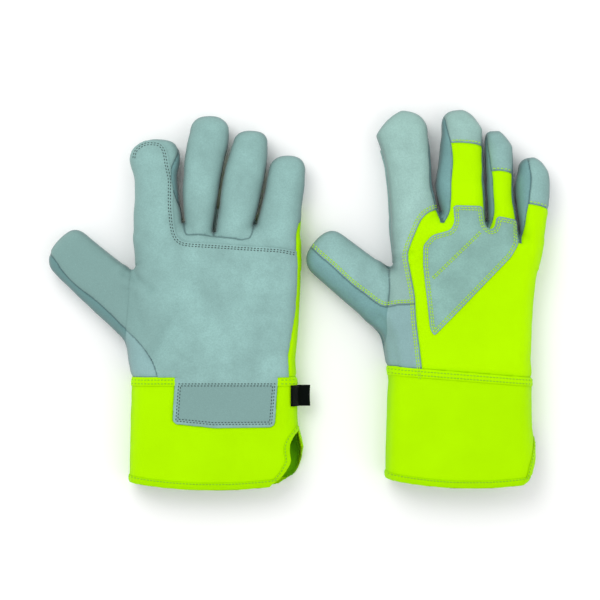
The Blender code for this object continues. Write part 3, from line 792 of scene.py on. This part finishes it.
class Nodes:
    """A short way to write a node tree."""

    def __init__(self, name):
        self.material = bpy.data.materials.new(name)
        self.material.use_nodes = True
        self.tree = self.material.node_tree
        self.shader = self.tree.nodes["Principled BSDF"]
        self.place = self.attribute("rest", "Vector")

    def add(self, kind, settings=(), **inputs):
        node = self.tree.nodes.new(kind)
        for key, value in dict(settings).items():
            setattr(node, key, value)
        for key, value in inputs.items():
            socket = node.inputs[int(key[1:])] if key[0] == "i" and key[1:].isdigit() else node.inputs[key]
            self.put(socket, value)
        return node

    def put(self, socket, value):
        if isinstance(value, bpy.types.NodeSocket):
            self.tree.links.new(value, socket)
        else:
            socket.default_value = value

    def set(self, **inputs):
        """Sets the shader's inputs, by their names with _ for each space."""
        for key, value in inputs.items():
            self.put(self.shader.inputs[key.replace("_", " ")], value)

    def mixed(self, share, a, b):
        node = self.add("ShaderNodeMix", {"data_type": "RGBA"})
        self.put(node.inputs[0], share)
        self.put(node.inputs[6], a)
        self.put(node.inputs[7], b)
        return node.outputs[2]

    def math(self, kind, a, b=0.0):
        return self.add("ShaderNodeMath", {"operation": kind}, i0=a, i1=b).outputs[0]

    def range(self, value, low, high, to_low=0.0, to_high=1.0):
        node = self.add("ShaderNodeMapRange", i0=value, i1=low, i2=high, i3=to_low, i4=to_high)
        return node.outputs[0]

    def noise(self, scale, detail=3.0, rough=0.5):
        node = self.add("ShaderNodeTexNoise", Vector=self.place, Scale=scale, Detail=detail, Roughness=rough)
        return node.outputs["Fac"]

    def attribute(self, name, output="Fac"):
        return self.add("ShaderNodeAttribute", {"attribute_name": name}).outputs[output]

    def bump(self, height, distance, strength=1.0, normal=None):
        node = self.add("ShaderNodeBump", Height=height, Distance=distance, Strength=strength)
        if normal is not None:
            self.put(node.inputs["Normal"], normal)
        return node.outputs[0]


def suede(name, colour):
    """Split leather: a short brushed nap over a slightly cloudy colour, with painted shade that darkens it in
    the seams, along the outline and on the palm side of the thumb.
    """
    def shade(share):
        return linear([min(255, c * share) for c in colour])

    n = Nodes(name)
    brushed = n.noise(900.0, 3.0, 0.6)
    nap = n.noise(2600.0, 2.0, 0.6)
    base = n.mixed(n.range(n.noise(45.0, 5.0, 0.6), 0.34, 0.66), shade(0.95), shade(1.06))
    # Painted shade towards the outline and on the palm side of the thumb, and darker in a few other places.
    base = n.mixed(n.range(n.attribute("tone"), 0.0, 1.0), base, shade(0.88))
    base = n.mixed(n.range(brushed, 0.62, 0.36, 0.0, 0.3), base, shade(0.8))
    base = n.mixed(n.range(nap, 0.56, 0.72, 0.0, 0.3), base, shade(1.15))
    # Painted shade: a bluish dark that the seam attribute mixes in at seam grooves, the outline, patch edges
    # and inner faces.
    painted_shade_colour = linear((colour[0] * 0.36, colour[1] * 0.42, colour[2] * 0.46))
    base = n.mixed(n.range(n.attribute("seam"), 0.35, 1.0, 0.0, 0.72), base, painted_shade_colour)
    n.set(Base_Color=base, Roughness=n.range(brushed, 0.3, 0.7, 0.82, 0.98), Sheen_Weight=0.25,
          Sheen_Roughness=0.45, Specular_IOR_Level=0.15,
          Normal=n.bump(nap, 0.00015, 0.5, n.bump(brushed, 0.0003, 0.4)))
    return n.material


def woven(name, colour, pitch, roughness, painted_glow=0.0):
    """A close plain weave: threads along and across, with slightly uneven dye, and painted shade in the seams
    and along folded edges. Painted glow in its own colour brightens a fluorescent fabric.
    """
    n = Nodes(name)
    bands = [n.add("ShaderNodeTexWave", {"bands_direction": way}, Vector=n.place, Scale=1.0 / pitch,
                   Distortion=0.6, Detail=1.0).outputs["Fac"] for way in ("X", "Y")]
    weave = n.math("MULTIPLY", *bands)
    cloud = n.range(n.noise(30.0, 4.0, 0.5), 0.3, 0.7)
    dark = linear((colour[0] * 0.62, colour[1] * 0.74, colour[2] * 0.4))
    base = n.mixed(cloud, linear(colour), linear([c * 0.975 for c in colour]))
    base = n.mixed(n.range(weave, 0.0, 0.5, 0.14, 0.0), base, dark)
    # Painted shade from the seam attribute: darker in seams, towards the outline and along folded edges.
    base = n.mixed(n.range(n.attribute("seam"), 0.3, 1.0, 0.0, 0.6), base, dark)
    # Emission in the fabric's own colour is painted glow.
    n.set(Base_Color=base, Emission_Color=base, Emission_Strength=painted_glow,
          Roughness=n.range(weave, 0.0, 1.0, roughness + 0.1, roughness - 0.05), Sheen_Weight=0.1,
          Sheen_Tint=linear(colour), Specular_IOR_Level=0.2, Specular_Tint=linear(colour),
          Normal=n.bump(weave, 0.00018, 0.7))
    return n.material


def thread(name, colour, dark):
    n = Nodes(name)
    wave = n.add("ShaderNodeTexWave", {"bands_direction": "DIAGONAL"}, Vector=n.place, Scale=900.0)
    twist = wave.outputs["Fac"]
    n.set(Base_Color=n.mixed(twist, linear(dark), linear(colour)),
          Roughness=n.range(twist, 0.0, 1.0, 0.75, 0.5),
          Normal=n.bump(twist, 0.0001, 0.5))
    return n.material


LOOKS = {
    "leather": suede("split_leather", (139, 177, 173)),
    "pale": suede("pale_back_leather", (151, 187, 180)),
    # Darker and bluer than the other leather: the strips' own grey with painted shade of the finger and thumb
    # sides.
    "strip": suede("side_strip_leather", (116, 158, 158)),
    "lower": suede("lower_side_leather", (146, 184, 184)),
    "knuckle": suede("knuckle_leather", (133, 173, 165)),
    # The last number of the fabric, cuff and trim looks is the strength of their painted glow.
    "fabric": woven("high_visibility_fabric", (187, 251, 0), 0.0011, 0.7, 0.04),
    "cuff": woven("cuff_fabric", (180, 244, 0), 0.0014, 0.6, 0.03),
    "trim": woven("binding_tape", (174, 240, 0), 0.0009, 0.6, 0.03),
    "lining": woven("lining_fabric", (110, 190, 10), 0.0012, 0.9),
    "tag": woven("tag_tape", (14, 18, 17), 0.0008, 0.6),
    "dark_thread": thread("dark_thread", (58, 78, 76), (24, 34, 33)),
    "bright_thread": thread("bright_thread", (196, 244, 10), (140, 196, 0)),
    "cuff_thread": thread("cuff_thread", (150, 214, 10), (108, 170, 4)),
}
PIECE_LOOKS = {
    "hand_back": "fabric", "middle_back": "fabric", "ring_back": "fabric", "little_back": "fabric",
    "side_leather": "pale", "index_back": "pale", "middle_cap": "pale", "lower_side_leather": "lower",
}


def look_of(name):
    if "cuff" in name:
        return "cuff"
    if "strip" in name:
        return "strip"
    return PIECE_LOOKS.get(name, "leather")


# ---- placing pieces in the frame

def glove_origin(glove):
    """World place of the glove's own origin, from the index finger's hinge in the frame."""
    name = glove.side + "_index_bend"
    hinge = next(joint["pos_m"] for joint in frame["joints"] if joint["name"] == name)
    return np.array((hinge[0] / MM - glove.root[0], hinge[1] / MM - glove.root[1], MIDDLE_HEIGHT))


def attach(glove, piece, name):
    """A piece named after a digit has its place baked into its mesh and stays where it is. The others stay
    with the hand.
    """
    hand = glove.side + "_hand"
    digit = name.split("_")[0]
    if digit not in DIGITS:
        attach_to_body(piece, hand)
        return
    if digit == "thumb":
        (ax, ay), (bx, by) = glove.hinge
        start = np.array(((ax + bx) / 2, (ay + by) / 2, 0.0))
    else:
        start = np.array((0.0, split_line(glove, 0.0), 0.0))
    start += glove_origin(glove)
    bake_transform(piece)


def leather_painted_shade_and_tone(glove, points):
    """0 where the leather is lightest, up to 1 where it is a little darker: painted shade towards the outline
    and on the palm side of the thumb, and darker inside the wrist patch's stitching and beside the thumb on
    the back."""
    at = Places(glove, points)
    palm = step(-2.0, 4.0, at.palm)
    side = thumb_side(glove, at.x, at.y)
    patch = step(2.0, 4.0, at.beyond(glove.wrist_patch, True))
    beside = step(90.0, 80.0, at.y) * step(-4.0, 2.0, -side) * step(-30.0, -36.0, at.x) * 0.7
    # Painted shade: darker towards the outline, and on the palm side of the thumb in the line below.
    edge = 0.8 * np.exp(-np.maximum(at.plan[0], 0.0) / 6.0)
    return np.maximum(edge, palm * np.maximum(step(-40.0, 10.0, side), patch) + (1.0 - palm) * beside)


def new_object(glove, name, points, faces, look, rest=None, normals=None, seam=None, tone=None):
    """A mesh placed in the frame, with the attributes that its material reads. Where the CAD has a node of
    the same name, it stands for that node."""
    mesh = bpy.data.meshes.new(glove.side + "_" + name)
    mesh.from_pydata(((points + glove_origin(glove)) * MM).tolist(), [], faces)
    mesh.materials.append(LOOKS[look])
    mesh.shade_smooth()
    place = mesh.attributes.new("rest", "FLOAT_VECTOR", "POINT")
    rest = points if rest is None else rest
    place.data.foreach_set("vector", (rest * MM).astype(np.float32).ravel())
    for title, values in (("seam", seam), ("tone", tone)):
        shade = mesh.attributes.new(title, "FLOAT", "POINT")
        if values is not None:
            shade.data.foreach_set("value", values.astype(np.float32))
    if normals is not None:
        mesh.normals_split_custom_set_from_vertices(normals.tolist())
    piece = bpy.data.objects.new(glove.side + "_" + name + "_skin", mesh)
    bpy.context.scene.collection.objects.link(piece)
    attach(glove, piece, name)
    if glove.side + "_" + name in frame["nodes"]:
        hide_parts(glove.side + "_" + name)


def as_lists(faces):
    return [list(f[:3]) if f[2] == f[3] else list(f) for f in faces.tolist()]


def shell(skin, name, chosen, look, out, inward, seam, on_top=False):
    """A closed piece from some faces of the skin, reaching out beyond it and inward behind it. One that lies
    on top has its own out at each point."""
    faces = skin.faces[chosen]
    used, flat = np.unique(faces, return_inverse=True)
    local = flat.reshape(faces.shape)
    count = len(used)
    base, normal = skin.points[used], skin.normals[used]
    outer = base + normal * (out[used][:, None] if on_top else out)
    inner = base - normal * inward
    if on_top:
        normal = point_normals(outer, local)
        skin.surfaces.append((skin.points + skin.normals * out[:, None], faces))
    pairs = sides_of(local)
    _, first, times = np.unique(np.sort(pairs, 1), axis=0, return_index=True, return_counts=True)
    rim = pairs[first[times == 1]]
    rim_faces = np.stack([rim[:, 1], rim[:, 0], rim[:, 0] + count, rim[:, 1] + count], 1)
    front = as_lists(local)
    back = [[v + count for v in reversed(f)] for f in front]
    both = np.concatenate([outer, inner])
    both[:, 2] = np.maximum(both[:, 2], 0.05 - MIDDLE_HEIGHT)
    rest = np.concatenate([base, base])
    # Painted shade: the outer faces keep the seam shading they are given, and the inner faces inside the
    # glove get a little painted shade.
    dark = np.concatenate([seam[used], np.full(count, 0.4)])
    new_object(skin.glove, name, both, front + back + rim_faces.tolist(), look, rest,
               np.concatenate([normal, -normal]), dark, leather_painted_shade_and_tone(skin.glove, rest))


# ---- stitches

def resampled(points, pitch, closed=False):
    """Evenly spaced places along a line, each with its direction."""
    pts = np.array(points + ([points[0]] if closed else []), float)
    along = np.concatenate([[0], np.cumsum(np.hypot(*np.diff(pts, axis=0).T))])
    count = max(1, int(along[-1] / pitch))
    middles = (np.arange(count) + 0.5) * along[-1] / count
    places, ahead, behind = (np.stack([np.interp(at, along, column) for column in pts.T], 1)
                             for at in (middles, middles + 0.4, middles - 0.4))
    way = ahead - behind
    return places, way / np.maximum(np.hypot(*way.T), 1e-9)[:, None]


def tube_faces(rings, size):
    """The sides of a tube through that many rings of points."""
    return [(i + k, i + (k + 1) % size, i + size + (k + 1) % size, i + size + k)
            for i in range(0, (rings - 1) * size, size) for k in range(size)]


def stitch_shape(length, radius):
    """A stitch lying along x: a short rounded bead whose ends dip into the leather."""
    rings = ((-0.5, 0.35, -0.35), (-0.36, 0.85, 0.0), (0.0, 1.0, 0.12), (0.36, 0.85, 0.0), (0.5, 0.35, -0.35))
    sides = 6
    points = []
    for share, size, lift in rings:
        for k in range(sides):
            angle = 2 * math.pi * k / sides
            points.append((share * length, math.cos(angle) * size * radius,
                           (math.sin(angle) * size + lift) * radius))
    ends = [tuple(range(sides))[::-1], tuple(range(len(points) - sides, len(points)))]
    return np.array(points), tube_faces(len(rings), sides) + ends


class Stitcher:
    """Lays rows of stitches on the finished surface and keeps them by body and thread."""

    def __init__(self, glove, surfaces):
        self.glove = glove
        points = []
        faces = []
        for verts, polys in surfaces:
            start = len(points)
            points += verts.tolist()
            faces += [[v + start for v in f] for f in as_lists(polys)]
        self.tree = BVHTree.FromPolygons([Vector(p) for p in points], faces)
        self.laid = {}

    def digit_at(self, x, y):
        glove = self.glove
        if on_thumb(glove, x, y):
            return "thumb"
        if y <= split_line(glove, x):
            return "hand"
        return glove.digits[int(plan(glove, np.array([x]), np.array([y]))[1][0])].name

    def row(self, line, palm, group, closed=False):
        up = 1.0 if palm == self.glove.palm_up else -1.0
        places, ways = resampled(line, STITCH_PITCH, closed)
        for (x, y), (dx, dy) in zip(places, ways):
            hit, normal, _, _ = self.tree.ray_cast(Vector((x, y, 40.0 * up)), Vector((0, 0, -up)))
            if hit is None or abs(normal.z) < 0.15:
                continue
            if normal.z * up < 0:
                normal = -normal
            key = (self.digit_at(x, y), THREADS[group], group)
            self.laid.setdefault(key, []).append((hit, normal, Vector((dx, dy, 0))))

    def rows(self, line, palm, group, closed=False, side=1.0):
        """A double row: the line itself and one beside it."""
        self.row(line, palm, group, closed)
        self.row(offset_line(line, ROW_GAP * side, closed), palm, group, closed)

    def build(self):
        for (digit, look, group), items in sorted(self.laid.items()):
            radius = STITCHES[look][1]
            shape, shape_faces = stitch_shape(*STITCHES[look])
            points = []
            faces = []
            for spot, normal, way in items:
                along = (way - normal * way.dot(normal)).normalized()
                side = normal.cross(along)
                turn = np.array((along, side, normal)).T
                place = np.array(spot) + np.array(normal) * radius * 0.35
                start = len(points) * len(shape)
                points.append(shape @ turn.T + place)
                faces += [[v + start for v in f] for f in shape_faces]
            merged = np.concatenate(points)
            merged[:, 2] = np.maximum(merged[:, 2], 0.03 - MIDDLE_HEIGHT)
            new_object(self.glove, f"{digit}_{group}_stitches", merged, faces, look)


# ---- whole gloves

def base_pieces(skin, names, seam):
    """Every sewn piece of the skin itself."""
    for name in sorted(set(names) - {"open"}):
        look = look_of(name)
        thick = FABRIC if look in ("fabric", "cuff") else LEATHER
        shell(skin, name, names == name, look, 0.0, thick, seam)


def patch_height(glove, name, polygon, points):
    """How far a patch stands off the skin: sunk along its edge and rows of stitches. Also the painted shade
    along its edge.
    """
    x, y = points[:, 0], points[:, 1]
    edge = np.abs(line_distance(polygon, x, y, closed=True))
    out = RISE - groove(edge, 0.3, 0.7)
    out = out - groove(edge - 2.0, 0.22, 0.5) - groove(edge - 2.0 - ROW_GAP, 0.22, 0.5)
    if name == "knuckle_patch":
        across = np.abs(line_distance(fitted(glove, PATCH_LINE), x, y))
        out -= groove(across - ROW_GAP / 2, 0.3, 0.7)
    if name == "palm_overlay":
        out = 0.35 + (out - 0.35) * step(0.0, 16.0, -thumb_side(glove, x, y))
    # The second value is painted shade along the patch's raised edge.
    return out, 0.55 * np.exp(-edge / 0.5)


def overlay_pieces(skin, names):
    """The patches sewn on top of the skin, cut where a finger has to bend."""
    glove = skin.glove
    at = skin.centres()
    for name, (polygon, palm, covered) in overlay_outlines(glove).items():
        cover = ((at.palm > 0) == palm) & (at.beyond(polygon, True) > 0) & ~at.on_thumb
        if covered:
            cover &= np.isin(names.astype(str), covered)
        out, dark = patch_height(glove, name, polygon, skin.points)
        look = "knuckle" if name == "knuckle_patch" else "leather"
        shell(skin, name, cover & ~at.on_finger, look, out, -0.1, dark, True)
        for number, digit in enumerate(glove.digits):
            chosen = cover & at.on_finger & at.nearest(number)
            if chosen.any():
                shell(skin, digit.name + "_" + name, chosen, look, out, -0.1, dark, True)


def trim_pieces(skin, names):
    """The folded band at the top of the cuff, and the tape over its mouth and along its slit."""
    at = skin.centres()
    on = skin.corners()
    cuff = np.char.startswith(names.astype(str), "cuff")
    out = 0.75 - groove(on.wrist + BAND, 0.3, 0.8) - groove(on.wrist, 0.3, 0.8)
    # Painted shade along the fold of the band.
    dark = 0.6 * np.exp(-np.abs(on.wrist + BAND) / 0.6)
    for title, side in (("cuff_front_band", at.palm > 0), ("cuff_back_band", at.palm <= 0)):
        shell(skin, title, cuff & side & (at.wrist > -BAND), "cuff", out, -0.08, dark, True)
    edge = np.abs(on.mouth - BINDING)
    edge = np.where(on.by_slit, np.minimum(edge, np.abs(on.slit + HEM)), edge)
    out = 0.8 - groove(edge, 0.35, 0.8)
    # Painted shade along the edges of the binding.
    dark = 0.6 * np.exp(-edge / 0.6)
    chosen = cuff & ((at.mouth < BINDING) | (at.by_slit & (at.slit > -HEM)))
    shell(skin, "cuff_binding", chosen, "trim", out, FABRIC + 0.35, dark, True)


def lining_piece(skin, names):
    """One soft tube inside the hand and cuff."""
    at = skin.centres()
    inner = (at.split < -8.0) & (names != "open") & ~at.on_thumb & (at.mouth > 4.0)
    shell(skin, "lining", inner, "lining", -LINING_GAP, LINING_GAP + 0.8, np.zeros(len(skin.points)))


def lay_leather_stitches(glove, stitcher):
    """The double rows round the leather pieces on both sides of the glove."""
    top = smoothed(fitted(glove, (TIP_ROW_START,) + OVERLAY_EDGE[3:], LEFT), 4.0)
    stitcher.rows(offset_line([p for p in top if p[0] < 62.0], -1.5), True, "overlay", side=-1.0)
    for inset in (2.4, 2.4 + ROW_GAP):
        stitcher.row(offset_line(glove.wrist_patch, inset, True), True, "wrist_patch", True)
    knuckle = overlay_outlines(glove)["knuckle_patch"][0][::-1]
    stitcher.rows(offset_line(knuckle, 1.5, True), False, "knuckle_patch", True)
    for side in (-0.5, 0.5):
        line = offset_line(fitted(glove, PATCH_LINE), side * ROW_GAP)
        stitcher.row(line, False, "knuckle_patch")
    border = smoothed(fitted(glove, BORDER))
    stitcher.rows(offset_line(border, -1.8), False, "border", side=-1.0)
    back_seam = [p for p in smoothed(fitted(glove, BACK_SEAM)) if p[0] < -36.0 * glove.stretch]
    stitcher.rows(offset_line(back_seam, 1.6), False, "thumb")
    for digit in glove.digits:
        if digit.cap is None:
            continue
        left, right = (float(e) for e in digit_edges(digit, np.array(digit.cap)))
        near = curve(digit.near, np.array(digit.cap)) if digit.near else 0.0
        xs = np.linspace(left + near + 1.0, right - 2.0, 8)
        line = [(x, float(cap_line(digit, x)) + 1.8) for x in xs]
        stitcher.row(line, False, "cap")


def lay_cuff_stitches(glove, stitcher):
    """The rows on the cuff: its folded band, its hem and the edge of its slit."""
    for palm in (True, False):
        spans = [(-66.0, 66.0)]
        if palm:
            spans = [(-66.0, glove.wrist_patch[-1][0] - 1.5), (glove.wrist_patch[-2][0] + 1.5, 66.0)]
        for below in (2.0, 4.8):
            for low, high in spans:
                line = [(x, wrist_line(glove, x) - below) for x in (low, high)]
                stitcher.row(line, palm, "cuff_band")
        line = [(x, mouth_line(glove, x) + BINDING - 1.3) for x in np.linspace(-66, 66, 16)]
        stitcher.row(line, palm, "cuff_hem")
        upper = 1 if palm == glove.palm_up else 2
        ys = np.linspace(-78.0, -38.0, 16)
        slit = [(float(curve(glove.vent, y, upper)) - HEM + 1.3, y) for y in ys]
        stitcher.row(slit, palm, "vent")


def skin_height(glove, x, y):
    """Height of the upper side of the skin above the middle plane."""
    x, y = np.array([x]), np.array([y])
    inside, _ = plan(glove, x, y)
    u = np.clip(1 - inside / EDGE_ROUND, 0.0, 1.0)
    return float((full_heights(glove, x, y)[0] * (1 - u ** TOP_POWER) ** (1 / TOP_POWER))[0])


def tag_piece(glove):
    """The folded tape loop in the cuff's side seam, with no print. Its upper leaf lies on the cuff's edge."""
    low, high = (np.array(corner) / MM - glove_origin(glove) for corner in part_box("left_tag"))
    half = (high[2] - low[2]) / 2
    middle = (high[2] + low[2]) / 2
    side = float(curve(glove.sides, low[1], 2))
    leaf = [(side - back + 1.0, skin_height(glove, side - back, (low[1] + high[1]) / 2) + 0.9)
            for back in (5.6, 4.4, 3.2, 2.0, 1.0, 0.3)]
    end = high[0] - 2.0
    leaf += [(side + 1.6, middle + half * 1.6), (end - 3.0, middle + half * 1.2), (end - 0.8, middle + half)]
    profile = leaf + [(end, middle)]
    profile += [(end - 0.8, middle - half), (side + 1.0, middle - half), (side - 1.5, middle - half)]
    thick = 0.45
    inner = [(x - thick * 0.7, z - thick if i < len(leaf) else z + thick * (i > len(leaf)))
             for i, (x, z) in enumerate(profile)][::-1]
    ring = profile + inner
    points = []
    for share in np.linspace(0.0, 1.0, 13):
        bow = 0.3 * math.sin(math.pi * share)
        points += [(x - bow * (x > side), low[1] + (high[1] - low[1]) * share, z) for x, z in ring]
    size = len(ring)
    faces = [face[::-1] for face in tube_faces(13, size)]
    for k in range(len(profile) - 1):
        quad = [k, k + 1, size - 2 - k, size - 1 - k]
        faces.append(quad)
        faces.append([len(points) - size + v for v in reversed(quad)])
    new_object(glove, "tag", np.array(points), faces, "tag")


def make_glove(glove):
    skin = Skin(glove)
    cut_seams(skin)
    names = name_faces(skin)
    away = shape_skin(skin, names)
    skin.normals = point_normals(skin.points, skin.faces)
    skin.surfaces.append((skin.points, skin.faces[names != "open"]))
    # Painted shade, darker in the pressed seam grooves and towards the outline, handed to the pieces as their
    # seam shading.
    inside = np.maximum(skin.corners().plan[0], 0.0)
    base_pieces(skin, names, np.maximum(np.exp(-away / 0.9), 0.72 * np.exp(-inside / 4.0)))
    overlay_pieces(skin, names)
    trim_pieces(skin, names)
    lining_piece(skin, names)
    stitcher = Stitcher(glove, skin.surfaces)
    lay_leather_stitches(glove, stitcher)
    lay_cuff_stitches(glove, stitcher)
    stitcher.build()
    if glove.palm_up:
        tag_piece(glove)


# ---- floor, light and camera

def make_stage():
    bpy.ops.mesh.primitive_plane_add(size=6.0, location=(0.0, 0.0, -0.0004))
    floor = bpy.context.object
    floor.name = "floor"
    n = Nodes("pale_floor")
    n.shader.inputs["Roughness"].default_value = 0.9
    n.place = n.add("ShaderNodeTexCoord").outputs["Object"]
    n.put(n.shader.inputs["Base Color"], n.mixed(n.noise(3.0), (0.96, 0.96, 0.96, 1), (0.98, 0.98, 0.98, 1)))
    floor.data.materials.append(n.material)


def make_light(name, place, aim, size, power):
    data = bpy.data.lights.new(name, "AREA")
    data.size = size
    data.energy = power
    lamp = bpy.data.objects.new(name, data)
    lamp.location = place
    lamp.rotation_euler = (Vector(aim) - Vector(place)).to_track_quat("-Z", "Y").to_euler()
    bpy.context.scene.collection.objects.link(lamp)


def make_camera():
    """Straight above the middle of the pair, from far off, as in the photo."""
    low, high = (np.array(corner) for corner in CAD_BOX)
    middle = (low + high) / 2
    width = 1.2 * (high - low)[0]
    data = bpy.data.cameras.new("camera")
    data.lens = 135.0
    data.sensor_width = 36.0
    camera = bpy.data.objects.new("camera", data)
    distance = width / 2 / (data.sensor_width / 2 / data.lens)
    camera.location = (middle[0] + 0.001, middle[1] - 0.0003, middle[2] + distance)
    bpy.context.scene.collection.objects.link(camera)
    bpy.context.scene.camera = camera


def make_world():
    world = bpy.data.worlds.new("studio")
    world.use_nodes = True
    background = world.node_tree.nodes["Background"]
    background.inputs["Color"].default_value = (1.0, 1.0, 1.0, 1.0)
    background.inputs["Strength"].default_value = 0.82
    bpy.context.scene.world = world
    bpy.context.scene.view_settings.view_transform = "Standard"


make_glove(LEFT)
make_glove(RIGHT)
make_stage()
make_world()
make_light("key", (-0.5, 0.7, 1.3), (0.0, 0.0, 0.0), 0.9, 9.0)
make_light("fill", (0.9, -0.3, 1.2), (0.0, 0.0, 0.0), 1.2, 3.0)
make_camera()
